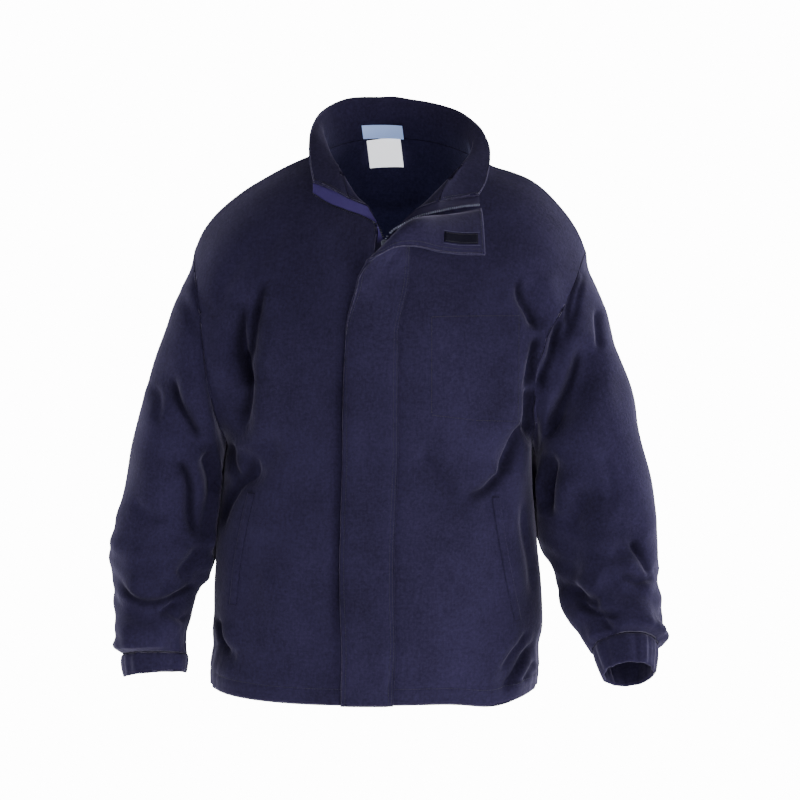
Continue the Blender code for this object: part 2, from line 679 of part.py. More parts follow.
def join_seams(folded, sleeve, front, outer):
    """Closes the side, shoulder and armhole seams again after the folds moved their cloths apart."""
    right = sleeve == "sleeve_right"
    front_grid, back_grid = folded[front][0], folded["back"][0]
    back_outer = -1 if right else 0
    back_grid[:LOWER_ROWS + 1, back_outer] = front_grid[:LOWER_ROWS + 1, outer]
    over_shoulder = PANEL_COLUMNS - NECK_COLUMNS + 1
    if right:
        back_grid[-1, -over_shoulder:] = front_grid[-1, :over_shoulder][::-1]
    else:
        back_grid[-1, :over_shoulder] = front_grid[-1, -over_shoulder:][::-1]
    front_seam = front_grid[LOWER_ROWS:, outer]
    back_seam = back_grid[LOWER_ROWS:, back_outer]
    folded[sleeve][0][-1 if right else 0] = np.vstack([front_seam[::-1], back_seam[1:-1]])


def build_cloth(cloth, finish):
    normals = wall_directions(cloth)
    rows = cloth["front_left"][0].shape[0]
    body_wall = np.full(rows, WALL)
    body_wall[cloth["front_left"][0][:, 3, 2] < HEM_Z + HEM_HEIGHT + 1 * MM] = HEM_WALL
    collar_wall = np.full(COLLAR_ROWS + 1, COLLAR_WALL)
    collar_wall[:3] = (WALL, WALL, (WALL + COLLAR_WALL) / 2)
    seams = {
        "front_right": ("top", "first", "last"), "front_left": ("top", "first", "last"),
        "back": ("top", "first", "last"), "sleeve_right": ("bottom", "top"),
        "sleeve_left": ("bottom", "top"), "collar": ("bottom", "first", "last"),
    }
    for name, (grid, round_it) in cloth.items():
        thick = collar_wall if name == "collar" else body_wall if not round_it else WALL
        gap = COLLAR_GAP if name == "collar" else SEAM_GAP / 2
        wall(name, grid, normals[name], thick, finish, seams[name], round_it, gap=gap)
    return normals


def build_cuff(name, table, finish, turned):
    """An elasticated cuff: a doubled tube drawn into small gathers, held by the elastic."""
    rows = through(np.stack([loop_of(row, CUFF_SIDES) for row in table]), 2)
    wave = np.cos(np.arange(CUFF_SIDES) * 2 * math.pi * CUFF_GATHERS / CUFF_SIDES)
    middle = rows.mean(axis=1, keepdims=True)
    rows = rows + unit(rows - middle) * wave[None, :, None] * 0.9 * MM
    if turned:
        rows = rows[::-1]
    wall(name, rows, own_normals(rows, True), CUFF_WALL, finish, round_it=True)


def across_front(cloth, row):
    """One row of both fronts, from the right side seam over the closed zip to the left one."""
    right = cloth["front_right"][0][row]
    left = cloth["front_left"][0][row]
    line = np.vstack([right, left])
    step = np.concatenate([[0], np.cumsum(np.linalg.norm(np.diff(line, axis=0), axis=1))])
    middle = (step[len(right) - 1] + step[len(right)]) / 2
    return line, step - middle


def on_front(cloth, row, reach, out):
    """Points of the fronts at signed distances from the zip, moved out from the cloth."""
    line, distance = across_front(cloth, row)
    points = np.stack([np.interp(reach, distance, column) for column in line.T], axis=1)
    ahead = np.stack([np.interp(reach + 4 * MM, distance, column) for column in line.T], axis=1)
    behind = np.stack([np.interp(reach - 4 * MM, distance, column) for column in line.T], axis=1)
    outwards = unit(np.cross(ahead - behind, (0, 0, 1)))
    return points + outwards * out


def flap_rows(cloth):
    """The storm flap's outer points: flat on the fronts, then turned over with the collar."""
    rows = []
    heights = cloth["front_left"][0][:, 0, 2]
    for row, z in enumerate(heights):
        if z > FLAP_FLAT_TOP_Z:
            break
        up = (z - HEM_Z) / (FLAP_FLAT_TOP_Z - HEM_Z)
        sewn = FLAP_SEWN_AT_HEM + (FLAP_SEWN_AT_TOP - FLAP_SEWN_AT_HEM) * up
        free = FLAP_FREE_AT_HEM + (FLAP_FREE_AT_TOP - FLAP_FREE_AT_HEM) * up
        reach = np.linspace(-free, sewn, FLAP_COLUMNS + 1)
        out = np.full(FLAP_COLUMNS + 1, FLAP_AIR + FLAP_WALL)
        out[-1] = LIFT + FLAP_SEWN_WALL
        rows.append(on_front(cloth, row, reach, out[:, None]))
    t = np.linspace(0, 1, FLAP_COLUMNS + 1)[:, None]
    for row in FLAP_TURN:
        sewn, free, rise = np.array(row[:3]) * MM, np.array(row[3:6]) * MM, row[6] * MM
        flat = free * (1 - t) + sewn * t
        bend = unit(np.array((0.0, -0.6, 0.8)))
        rows.append(flat + bend * rise * 4 * t * (1 - t))
    flat_count = len(rows) - len(FLAP_TURN)
    turned = through(np.stack(rows[flat_count - 2:]), 2)[2:]
    return np.concatenate([np.stack(rows[:flat_count - 1]), turned])


def build_flap(cloth, finish):
    rows = flap_rows(cloth)
    thick = np.full(rows.shape[:2], FLAP_WALL)
    thick[:, -1] = FLAP_SEWN_WALL
    wall("storm_flap", rows, own_normals(rows), thick, finish)
    return rows


def zip_lines(cloth, normals):
    """Each front edge from hem to collar corner: outward directions, teeth line, last closed row."""
    lines = {}
    for side, name, column, collar_column, teeth in (
        (-1, "front_right", -1, -1, RIGHT_TEETH),
        (1, "front_left", 0, 0, LEFT_TEETH),
    ):
        front = cloth[name][0][:, column]
        edge = np.vstack([front, cloth["collar"][0][1:, collar_column]])
        closed = int(np.sum(front[:, 2] < CLOSED_BELOW)) - 1
        inwards = np.array((-side, 0.0, 0.0))
        free = edge[:closed + 1] + inwards * (EDGE_FROM_CENTRE - CHAIN_HALF)
        rest = through(np.vstack([free[-1:], np.array(teeth) * MM]))
        step = np.concatenate([[0], np.cumsum(np.linalg.norm(np.diff(edge[closed:], axis=0), axis=1))])
        along = np.concatenate([[0], np.cumsum(np.linalg.norm(np.diff(rest, axis=0), axis=1))])
        at = step / step[-1] * along[-1]
        free = np.vstack([free[:-1], np.stack([np.interp(at, along, c) for c in rest.T], axis=1)])
        facing = np.vstack([normals[name][:, column], normals["collar"][1:, collar_column]])
        lines[name] = (edge, facing, free, closed)
    return lines


def strip(name, first, last, thick, out, finish, facing=(None, None)):
    """A narrow strip between two lines; last lies to the right of first as seen from outside."""
    over = unit(last - first)
    grid = np.stack([first + over * TAPE_GAP, last - over * TAPE_GAP], axis=1)
    normals = own_normals(grid)
    for column, given in enumerate(facing):
        if given is not None:
            normals[:, column] = given
    wall(name, grid, normals, thick, finish, outer=out)


def build_zip(cloth, normals, tape_right, tape_left, metal):
    lines = zip_lines(cloth, normals)
    sunk = -(WALL - TAPE_THICK) / 2
    edge, facing_right, right_free, closed = lines["front_right"]
    strip("zip_tape_right", edge, right_free, TAPE_THICK, sunk, tape_right, (facing_right, None))
    edge, facing_left, left_free, closed = lines["front_left"]
    strip("zip_tape_left", left_free, edge, TAPE_THICK, sunk, tape_left, (None, facing_left))
    proud = sunk + (TEETH_THICK - TAPE_THICK) / 2
    closed_rows = slice(0, closed + 1)
    strip("zip_chain", right_free[closed_rows], left_free[closed_rows], TEETH_THICK, proud, metal,
          (facing_right[closed_rows], facing_left[closed_rows]))
    return lines


def open_teeth(lines, metal):
    """The teeth above the slider, a row along the free edge of each tape."""
    for name, front, turn in (("teeth_right", "front_right", 1), ("teeth_left", "front_left", -1)):
        edge, _, free, closed = lines[front]
        rows = slice(closed + 1, None)
        over = unit(free[rows] - edge[rows])
        near, far = free[rows], free[rows] + over * TEETH_WIDE
        sides = (near, far) if turn > 0 else (far, near)
        grid = np.stack(sides, axis=1)
        proud = -(WALL - TEETH_THICK) / 2
        wall(name, grid, own_normals(grid), TEETH_THICK, metal, outer=proud)


# ---------------------------------------------------------------- trim on the cloth


def along_columns(grid, x):
    """The points of every row of a grid where it crosses a given x."""
    return np.stack([[np.interp(x, row[:, 0], row[:, axis]) for axis in range(3)] for row in grid])


def on_cloth(grid, normals, x, z, out):
    """A point of a front at a given x and z, moved out from the cloth."""
    places = along_columns(grid, x)
    ways = np.stack([[np.interp(x, row[:, 0], way[:, axis]) for axis in range(3)]
                     for row, way in zip(grid, normals)])
    place = np.array([np.interp(z, places[:, 2], places[:, axis]) for axis in range(3)])
    way = unit(np.array([np.interp(z, places[:, 2], ways[:, axis]) for axis in range(3)]))
    return place + way * out


def build_welt(name, grid, normals, pocket, finish):
    """The narrow welt that edges a side pocket."""
    line = spaced(through(np.array(pocket) * MM), 13)
    lower = LOWER_ROWS + 2
    rows = []
    for x, z in line[::-1]:
        rows.append([on_cloth(grid[:lower], normals[:lower], x + reach, z, WELT_AIR + WELT_THICK)
                     for reach in (-WELT_HALF, 0, WELT_HALF)])
    rows = np.array(rows)
    wall(name, rows, own_normals(rows), WELT_THICK, finish)


def build_labels(cloth, normals, finish):
    """The neck label inside the collar and the care label that hangs from the neck seam."""
    grid, facing = cloth["collar"][0][:3], normals["collar"][:3]
    middle = slice(NECK_COLUMNS + 2, 3 * NECK_COLUMNS - 1)
    grid, facing = grid[:, middle], facing[:, middle]
    columns = []
    hung = []
    for x in np.linspace(*NECK_LABEL_X, 5) * MM:
        place = np.stack([[np.interp(-x, -row[:, 0], row[:, a]) for a in range(3)] for row in grid])
        way = np.stack([[np.interp(-x, -row[:, 0], w[:, a]) for a in range(3)]
                        for row, w in zip(grid, facing)])
        inner = place - unit(way) * (np.array((WALL, WALL, COLLAR_WALL))[:, None] + LIFT)
        step = np.concatenate([[0], np.cumsum(np.linalg.norm(np.diff(inner, axis=0), axis=1))])
        heights = np.linspace(*NECK_LABEL_UP, 4)
        columns.append(np.stack([np.interp(heights, step, c) for c in inner.T], axis=1))
    rows = np.stack(columns, axis=1)[:, ::-1]
    wall("neck_label", rows, own_normals(rows), LABEL_THICK, finish)
    for x in np.linspace(*CARE_LABEL_X, 5) * MM:
        place = np.array([np.interp(-x, -grid[0][:, 0], grid[0][:, a]) for a in range(3)])
        way = unit(np.array([np.interp(-x, -grid[0][:, 0], facing[0][:, a]) for a in range(3)]))
        top = place - way * (1, 1, 0) * (WALL + 2 * LIFT) + (0, CARE_LABEL_BACK, 0)
        drop = np.linspace(CARE_LABEL_DROP[1], CARE_LABEL_DROP[0], 5)[:, None]
        away = CARE_LABEL_AWAY * (drop / CARE_LABEL_DROP[1]) ** 2
        hung.append(top - drop * (0, 0, 1) + away * (0, 1, 0))
    rows = np.stack(hung, axis=1)[:, ::-1]
    wall("care_label", rows, own_normals(rows), LABEL_THICK, finish)


def build_patch(rows, finish):
    """The hook patch on the inner face of the flap's corner, which is turned outwards."""
    facing = own_normals(rows)
    inner = rows - facing * (FLAP_WALL + PATCH_AIR)
    t = np.linspace(0, 1, rows.shape[1])
    lines = []
    for across in np.linspace(*PATCH_ACROSS, 3):
        line = np.stack([[np.interp(across, t, row[:, a]) for a in range(3)] for row in inner])[::-1]
        step = np.concatenate([[0], np.cumsum(np.linalg.norm(np.diff(line, axis=0), axis=1))])
        places = np.linspace(*PATCH_FROM_CORNER, 8)
        lines.append(np.stack([np.interp(places, step, c) for c in line.T], axis=1)[::-1])
    grid = np.stack(lines, axis=1)
    wall("hook_patch", grid, own_normals(grid), PATCH_THICK, finish)


# ---------------------------------------------------------------- slider


def box(centre, size):
    """A box as points and faces."""
    corners = np.array([(x, y, z) for x in (-1, 1) for y in (-1, 1) for z in (-1, 1)]) / 2
    faces = ((0, 1, 3, 2), (4, 6, 7, 5), (0, 4, 5, 1), (2, 3, 7, 6), (0, 2, 6, 4), (1, 5, 7, 3))
    return corners * size + centre, faces


def rod(centre, radius, length):
    """A round rod along X as points and faces."""
    angle = np.linspace(0, 2 * math.pi, ROUND_SIDES, endpoint=False)
    ring = np.stack([np.zeros_like(angle), np.cos(angle), np.sin(angle)], axis=1) * radius
    points = np.concatenate([ring + centre + (-length / 2, 0, 0), ring + centre + (length / 2, 0, 0)])
    n = ROUND_SIDES
    faces = [(i, (i + 1) % n, n + (i + 1) % n, n + i) for i in range(n)]
    return points, faces + [tuple(range(n - 1, -1, -1)), tuple(range(n, 2 * n))]


def joined(name, shapes, finish):
    """One solid from several that overlap."""
    made = solid(name, *shapes[0], finish)
    helpers = [solid(name + " piece", *shape, finish) for shape in shapes[1:]]
    for helper in helpers:
        union = made.modifiers.new("join", "BOOLEAN")
        union.operation = "UNION"
        union.solver = "EXACT"
        union.object = helper
    bpy.context.view_layer.update()
    graph = bpy.context.evaluated_depsgraph_get()
    mesh = bpy.data.meshes.new_from_object(made.evaluated_get(graph))
    made.modifiers.clear()
    made.data = mesh
    for helper in helpers:
        bpy.data.objects.remove(helper)
    return made


def slider_place(lines):
    """The middle of the slider: the top of the closed chain, half way between the tapes."""
    _, _, right_free, closed = lines["front_right"]
    _, _, left_free, _ = lines["front_left"]
    middle = (right_free[closed] + left_free[closed]) / 2
    return middle + (0, WALL / 2, CHAIN_AIR + POST_TALL - SLIDER_TALL / 2)


def build_slider(lines, metal):
    """The slider: two plates with a post between them, and two ears that hold the pull's pin."""
    centre = slider_place(lines)
    plate_out = TEETH_THICK / 2 + SLIDER_AIR + SLIDER_PLATE / 2
    top = SLIDER_TALL / 2
    ear_x = PULL_WIDE / 2 + 0.3 * MM + EAR_WIDE / 2
    pin_y = -(plate_out + SLIDER_PLATE / 2 + PIN_OUT)
    plate = (SLIDER_WIDE, SLIDER_PLATE, SLIDER_TALL)
    ear_deep = PIN_OUT + PIN_RADIUS + SLIDER_PLATE
    ear = (EAR_WIDE, ear_deep, EAR_TALL)
    ear_y = pin_y - PIN_RADIUS - 0.3 * MM + ear_deep / 2
    shapes = [
        box(centre + (0, -plate_out, 0), plate),
        box(centre + (0, plate_out, 0), plate),
        box(centre + (0, 0, top - POST_TALL / 2), (POST_WIDE, 2 * plate_out, POST_TALL)),
        box(centre + (-ear_x, ear_y, 0), ear),
        box(centre + (ear_x, ear_y, 0), ear),
        rod(centre + (0, pin_y, 0), PIN_RADIUS, 2 * ear_x),
    ]
    joined("zip_slider", shapes, metal)
    return centre + (0, pin_y, 0)


def build_pull(pin, metal):
    """The pull tab: a small plate that hangs from an eye round the slider's pin."""
    half = math.asin(PULL_THICK / 2 / EYE_RADIUS)
    turn = np.linspace(-math.pi / 2 + half, 3 * math.pi / 2 - half, ROUND_SIDES)
    ring = np.stack([np.cos(turn), np.sin(turn)], axis=1)
    foot = -PULL_LONG
    outline = np.concatenate([ring * EYE_RADIUS, ring * EYE_HOLE,
                              ((-PULL_THICK / 2, foot), (PULL_THICK / 2, foot))])
    n = ROUND_SIDES
    bottom_back, bottom_front = 2 * n, 2 * n + 1
    side = [(i, (i + 1) % n, n + (i + 1) % n, n + i) for i in range(n)]
    side.append((n - 1, bottom_back, bottom_front, 0))
    count = len(outline)
    points = np.array([(x, y, z) for x in (-PULL_WIDE / 2, PULL_WIDE / 2) for y, z in outline])
    faces = [face[::-1] for face in side] + [tuple(i + count for i in face) for face in side]
    rim = list(range(n)) + [bottom_back, bottom_front]
    for a, b in zip(rim, rim[1:] + rim[:1]):
        faces.append((a, b, b + count, a + count))
    for i in range(n):
        a, b = n + i, n + (i + 1) % n
        faces.append((b, a, a + count, b + count))
    pull = solid("zip_pull", points, faces, metal)
    pull.location = pin


def main():
    for old in list(bpy.data.objects):
        bpy.data.objects.remove(old)
    fleece = material("navy fleece", (40, 40, 66), 0.95)
    blue = material("royal blue tape", (60, 66, 122), 0.8)
    navy_tape = material("navy tape", (32, 34, 52), 0.8)
    teeth = material("dark zip metal", (70, 70, 78), 0.4, 0.8)
    hooks = material("dark hook tape", (30, 30, 44), 0.9)
    label = material("pale label", (226, 230, 245), 0.7)
    cloth = garment_cloth()
    normals = build_cloth(cloth, fleece)
    build_cuff("cuff_right", RIGHT_CUFF, fleece, True)
    build_cuff("cuff_left", LEFT_CUFF, fleece, False)
    flap = build_flap(cloth, fleece)
    build_patch(flap, hooks)
    build_welt("welt_right", cloth["front_right"][0], normals["front_right"], RIGHT_POCKET, fleece)
    build_welt("welt_left", cloth["front_left"][0], normals["front_left"], LEFT_POCKET, fleece)
    build_labels(cloth, normals, label)
    lines = build_zip(cloth, normals, blue, navy_tape, teeth)
    open_teeth(lines, teeth)
    build_pull(build_slider(lines, teeth), teeth)


if __name__ == "__main__":
    main()
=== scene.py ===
"""Fleece zip jacket: its sewn cloth, zip, trim and studio, built round the packed solids."""

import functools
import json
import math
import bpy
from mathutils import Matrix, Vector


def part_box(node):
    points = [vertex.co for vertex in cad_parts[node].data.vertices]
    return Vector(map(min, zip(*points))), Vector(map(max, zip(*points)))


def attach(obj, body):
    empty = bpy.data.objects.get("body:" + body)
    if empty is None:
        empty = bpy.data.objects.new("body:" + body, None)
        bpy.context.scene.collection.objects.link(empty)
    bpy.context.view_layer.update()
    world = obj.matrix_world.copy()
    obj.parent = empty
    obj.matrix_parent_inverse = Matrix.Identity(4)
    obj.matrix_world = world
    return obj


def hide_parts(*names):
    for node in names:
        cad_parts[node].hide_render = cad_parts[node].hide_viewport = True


bl_info = {
    "name": "Fleece Zip Jacket",
    "version": (1, 0, 0),
    "blender": (4, 5, 0),
    "location": "View3D > Sidebar > Jacket",
    "description": "Builds a fleece zip jacket in the pose it is worn in",
    "category": "Add Mesh",
}

import bpy
import numpy as np
from bpy.props import FloatProperty, FloatVectorProperty, IntProperty, PointerProperty
from mathutils import Vector

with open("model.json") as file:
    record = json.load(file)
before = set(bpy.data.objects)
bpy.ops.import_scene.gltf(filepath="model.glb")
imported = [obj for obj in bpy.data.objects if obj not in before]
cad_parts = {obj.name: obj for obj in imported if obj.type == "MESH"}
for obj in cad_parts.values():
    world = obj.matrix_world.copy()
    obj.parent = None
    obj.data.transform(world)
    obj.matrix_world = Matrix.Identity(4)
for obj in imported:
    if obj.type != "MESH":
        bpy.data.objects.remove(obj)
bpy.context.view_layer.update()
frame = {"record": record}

MM = 0.001

# Cloth
WALL = 3.0 * MM
HEM_WALL = 5.2 * MM
COLLAR_WALL = 5.0 * MM
CUFF_WALL = 4.6 * MM
FLAP_WALL = 5.0 * MM
LIFT = 0.4 * MM
HEM_HEIGHT = 23 * MM
SLEEVE_AIR = 5 * MM
CLEAR_FADE = 40 * MM

# How freely the cloth evens out, and along its seams
RELAX_TURNS = 6
SHOULDER_SOFT = 0.12
ARMHOLE_SOFT = 0.12

# How far the cloth arches over the shoulder, and how far from the seam it does most
ARCH_RISE = 13 * MM
ARCH_REACH = 48 * MM
ARCH_FROM = 0.32

# Body: the hem is level, and the garment leans a little towards the wearer's right
HEM_Z = -710 * MM
UNDERARM_Z = -384 * MM
SIDE_Y = 4 * MM
ROUNDNESS = 2.35
EDGE_FROM_CENTRE = 11 * MM
CHAIN_HALF = 2.5 * MM

# How finely the cloth is divided
PANEL_COLUMNS = 14
NECK_COLUMNS = 6
LOWER_ROWS = 12
UPPER_ROWS = 12
SLEEVE_STEPS = 2
COLLAR_ROWS = 4

# height, half width, depth in front, depth behind, centre
BODY_SECTIONS = (
    (-710, 223, 142, 126, -25),
    (-685, 224, 143, 128, -24),
    (-655, 221, 142, 128, -22),
    (-625, 225, 141, 128, -21),
    (-560, 221, 139, 128, -22),
    (-500, 216, 137, 129, -21),
    (-440, 210, 136, 131, -18),
    (-384, 206, 135, 133, -15),
)

# Seam points of the wearer's right half, from the front edge round to the shoulder tip
RIGHT_EDGE_TOP = (
    (-21, -131, -112), (-19, -126, -86), (-21, -116, -64), (-37, -104, -50), (-54, -93, -43),
)
RIGHT_NECK = ((-54, -93, -43), (-60, -80, -26), (-70, -56, -6), (-84, -28, 8), (-97, 0, 14))
RIGHT_SHOULDER = (
    (-97, 0, 14), (-120, 0, 9), (-146, 0, -4), (-174, 0, -20), (-201, 0, -36),
    (-222, 0, -52), (-240, 0, -70), (-254, 0, -90), (-264, 2, -114),
)
RIGHT_ARMHOLE_FRONT = (
    (-264, 2, -114), (-259, -36, -150), (-252, -64, -210), (-246, -72, -270), (-238, -58, -330),
)
RIGHT_ARMHOLE_BACK = (
    (-264, 2, -114), (-258, 42, -148), (-246, 74, -205), (-231, 90, -265), (-223, 70, -330),
)
LEFT_EDGE_TOP = (
    (1, -131, -112), (4, -128, -90), (18, -120, -68), (38, -110, -55), (60, -99, -47),
)
LEFT_NECK = ((60, -99, -47), (66, -84, -32), (82, -56, -13), (99, -28, 2), (112, 0, 8))
LEFT_SHOULDER = (
    (112, 0, 8), (132, 0, 0), (152, 0, -6), (178, 0, -15), (202, 0, -31),
    (222, 0, -51), (240, 0, -73), (253, 0, -95), (261, 2, -116),
)
LEFT_ARMHOLE_FRONT = (
    (261, 2, -116), (250, -28, -137), (238, -52, -166), (222, -74, -192), (202, -92, -222),
    (192, -96, -260), (189, -86, -310), (188, -60, -350),
)
LEFT_ARMHOLE_BACK = (
    (261, 2, -116), (256, 42, -148), (241, 74, -202), (220, 92, -262), (202, 76, -330),
)
BACK_NECK_RIGHT = ((8, 92, 29), (-30, 88, 28), (-66, 66, 23), (-88, 32, 17), (-97, 0, 14))
BACK_NECK_LEFT = ((8, 92, 29), (46, 88, 26), (82, 66, 18), (103, 32, 11), (112, 0, 8))
CENTRE_BACK = ((8, 92, 29), (4, 118, -20), (-2, 134, -90), (-8, 141, -180), (-12, 140, -280))

# Top edge of the collar, from the wearer's right front corner round to the left one
COLLAR_TOP_RIGHT = (
    (-103, -63, -24), (-108, -44, -2), (-110, -22, 20), (-108, 6, 45), (-100, 36, 62),
)
COLLAR_TOP_BACK_RIGHT = ((-100, 36, 62), (-84, 64, 74), (-54, 86, 83), (4, 98, 84))
COLLAR_TOP_LEFT = (
    (114, -64, -41), (123, -50, -26), (129, -28, -4), (130, -2, 20), (119, 30, 44),
)
COLLAR_TOP_BACK_LEFT = ((119, 30, 44), (98, 62, 62), (60, 86, 75), (4, 98, 84))
COLLAR_ROLL = 4 * MM

# The teeth above the slider, where the front edges turn outwards with the collar
CLOSED_BELOW = -90 * MM
RIGHT_TEETH = (
    (-13, -130, -88), (-21, -124, -73), (-37, -114, -64), (-56, -103, -58), (-83, -87, -49),
    (-103, -74, -37),
)
LEFT_TEETH = (
    (0, -131, -84), (12, -127, -76), (34, -118, -64), (59, -106, -58), (88, -90, -54),
    (114, -72, -52),
)

# outer x, outer z, inner x, inner z, outer y, inner y, half depth, forward tilt in degrees
RIGHT_SLEEVE = (
    (-284, -152, -224, -396, -2, -2, 84, 0),
    (-304, -212, -214, -408, -6, 10, 88, 0),
    (-323, -272, -203, -424, -14, 24, 88, 0),
    (-339, -334, -197, -446, -20, 36, 88, 0),
    (-353, -396, -196, -472, -24, 42, 84, 0),
    (-367, -458, -203, -502, -26, 34, 80, 4),
    (-376, -512, -224, -532, -30, 10, 74, 8),
    (-376, -545, -248, -556, -32, -14, 68, 12),
    (-373, -572, -264, -578, -38, -30, 62, 14),
    (-375, -600, -273, -602, -44, -42, 57, 16),
    (-376, -630, -276, -629, -52, -52, 53, 17),
    (-368, -655.1, -274, -654.1, -59.7, -59.7, 46, 18),
)
LEFT_SLEEVE = (
    (276, -152, 194, -394, -4, 0, 86, 0),
    (292, -212, 184, -404, -12, 16, 92, 0),
    (310, -264, 173, -424, -22, 30, 94, 0),
    (324, -322, 169, -448, -30, 38, 93, 0),
    (337, -382, 173, -478, -34, 36, 90, 2),
    (349, -444, 194, -508, -38, 10, 84, 6),
    (357, -500, 213, -540, -44, -18, 77, 14),
    (359, -540, 222, -568, -54, -40, 70, 24),
    (357, -570, 231, -592, -70, -62, 62, 32),
    (358, -600, 248, -614, -88, -86, 54, 38),
    (356, -629.3, 261, -637.3, -109.4, -109.4, 46, 41),
)
RIGHT_CUFF = (
    (-364, -656, -273, -655, -60, -60, 44, 18),
    (-363, -670, -274, -668, -64, -64, 43, 18),
    (-361, -687, -275, -681, -68, -68, 42, 18),
)
LEFT_CUFF = (
    (352, -630, 264, -638, -110, -110, 42, 41),
    (350, -644, 270, -652, -122, -122, 40, 41),
    (348, -664, 276, -668, -136, -136, 38, 41),
)

# Upper end of the storm flap. Sewn edge x, y, z, free edge x, y, z, rise of the roll between them
FLAP_TURN = (
    (22, -139, -152, -47, -147, -158, 3),
    (24, -138, -128, -42, -153, -139, 8),
    (24, -137, -112, -29, -160, -121, 14),
    (24, -135, -96, -4, -167, -103, 20),
    (30, -129, -82, 14, -168, -98, 22),
    (42, -122, -72, 34, -162, -100, 20),
    (62, -112, -66, 58, -151, -107, 14),
    (88, -98, -62, 86, -138, -112, 9),
    (117, -80, -57, 120, -124, -114, 6),
)
FLAP_SEWN_AT_HEM = 27 * MM
FLAP_SEWN_AT_TOP = 22 * MM
FLAP_FREE_AT_HEM = 43 * MM
FLAP_FREE_AT_TOP = 51 * MM
FLAP_AIR = 1.2 * MM
FLAP_SEWN_WALL = 2.4 * MM
FLAP_FLAT_TOP_Z = -215 * MM

# Folds. Which cloth, x and z of its two ends and of a point between, depth, reach to each side.
# A minus depth stands out as a ridge.
FOLDS = (
    ("front", -202, -190, -199, -290, -204, -372, 25, 20),
    ("front", -182, -168, -176, -205, -192, -260, 13, 18),
    ("front", 170, -150, 182, -178, 196, -214, 17, 17),
    ("front", 187, -240, 188, -310, 190, -380, 20, 18),
    ("front", -150, -345, -178, -405, -206, -430, 12, 17),
    ("front", -202, -372, -190, -396, -176, -420, 10, 14),
    ("front", 172, -340, 150, -384, 138, -402, 16, 20),
    ("front", 30, -362, 62, -412, 112, -450, 9, 20),
    ("front", 112, -450, 134, -436, 142, -405, 9, 19),
    ("front", -160, -470, -185, -530, -200, -600, 7, 22),
    ("front", 176, -640, 158, -668, 140, -690, 9, 14),
    ("front", -236, -640, -222, -650, -205, -655, 7, 14),
    ("back", -196, -180, -192, -270, -206, -372, 22, 24),
    ("back", 186, -190, 184, -280, 190, -372, 22, 24),
    ("back", -120, -330, -60, -372, -10, -384, 9, 27),
    ("back", 120, -350, 60, -400, 0, -420, 9, 27),
    ("back", -196, -430, -150, -470, -100, -480, 9, 24),
    ("back", 180, -450, 140, -500, 90, -520, 9, 24),
    ("back", 176, -640, 150, -664, 120, -690, 7, 17),
    ("right sleeve front", -304, -272, -286, -322, -252, -384, 14, 20),
    ("right sleeve front", -252, -384, -238, -414, -226, -438, 13, 17),
    ("right sleeve front", -296, -360, -276, -420, -272, -496, 13, 19),
    ("right sleeve front", -268, -548, -288, -556, -310, -552, 13, 18),
    ("right sleeve front", -366, -578, -326, -594, -262, -576, 14, 17),
    ("right sleeve back", -310, -300, -284, -360, -244, -420, 13, 22),
    ("right sleeve back", -360, -480, -320, -500, -270, -492, 14, 22),
    ("right sleeve back", -368, -556, -320, -572, -270, -560, 13, 19),
    ("left sleeve front", 218, -205, 214, -262, 196, -300, 17, 17),
    ("left sleeve front", 260, -222, 246, -286, 206, -362, 20, 20),
    ("left sleeve front", 228, -384, 208, -420, 200, -470, 16, 18),
    ("left sleeve front", 264, -420, 246, -462, 230, -486, 12, 22),
    ("left sleeve front", 330, -495, 306, -506, 290, -500, 9, 17),
    ("left sleeve front", 336, -548, 306, -556, 276, -540, 10, 17),
    ("left sleeve front", 222, -550, 250, -584, 300, -604, 14, 17),
    ("left sleeve back", 296, -290, 262, -352, 214, -410, 13, 22),
    ("left sleeve back", 348, -470, 300, -500, 240, -492, 14, 22),
    ("left sleeve back", 350, -548, 308, -570, 262, -568, 8, 25),
)
FOLD_FADE = 0.16

# Trim. Each line of places is x and z
LABEL_THICK = 0.7 * MM
PATCH_THICK = 1.3 * MM
WELT_HALF = 5 * MM
TAPE_THICK = 1.4 * MM
TAPE_GAP = 1.3 * MM
TEETH_THICK = 2.6 * MM
RIGHT_POCKET = ((-186, -432), (-197, -480), (-206, -530), (-212, -585))
LEFT_POCKET = ((137, -436), (145, -488), (156, -548), (168, -606))
NECK_LABEL_X = (-42, 15)
NECK_LABEL_UP = (1 * MM, 19 * MM)
CARE_LABEL_X = (-34, 17.6)
CARE_LABEL_DROP = (3.5 * MM, 40 * MM)
CARE_LABEL_BACK = 1.4 * MM
CARE_LABEL_AWAY = 4 * MM
PATCH_FROM_CORNER = (11 * MM, 56 * MM)
PATCH_ACROSS = (0.14, 0.4)

# Slider and pull tab
SLIDER_WIDE = 8 * MM
SLIDER_TALL = 9 * MM
SLIDER_PLATE = 1.2 * MM
SLIDER_AIR = 0.45 * MM
POST_WIDE = 2.8 * MM
POST_TALL = 2 * MM
EAR_WIDE = 1.0 * MM
EAR_TALL = 3.2 * MM
PIN_RADIUS = 0.7 * MM
EYE_HOLE = 1.0 * MM
EYE_RADIUS = 1.9 * MM
PULL_WIDE = 3.8 * MM
PULL_LONG = 24 * MM
PULL_THICK = 1.2 * MM

# What the finer cloth adds
FOLD_SHALLOWER = 1.6
FOLD_SHARPER = 1.15
SEAM_REACH = 28 * MM
SEAM_ROUND = 0.45
OPEN_ROUND = 1.0
RIM_STEPS = 5
EDGE_PLACES = (0.05, 0.16, 0.4)
STITCH_SUNK = 0.9 * MM

# How far across the storm flap its sewn part begins
FLAP_SEWN_FROM = 0.84
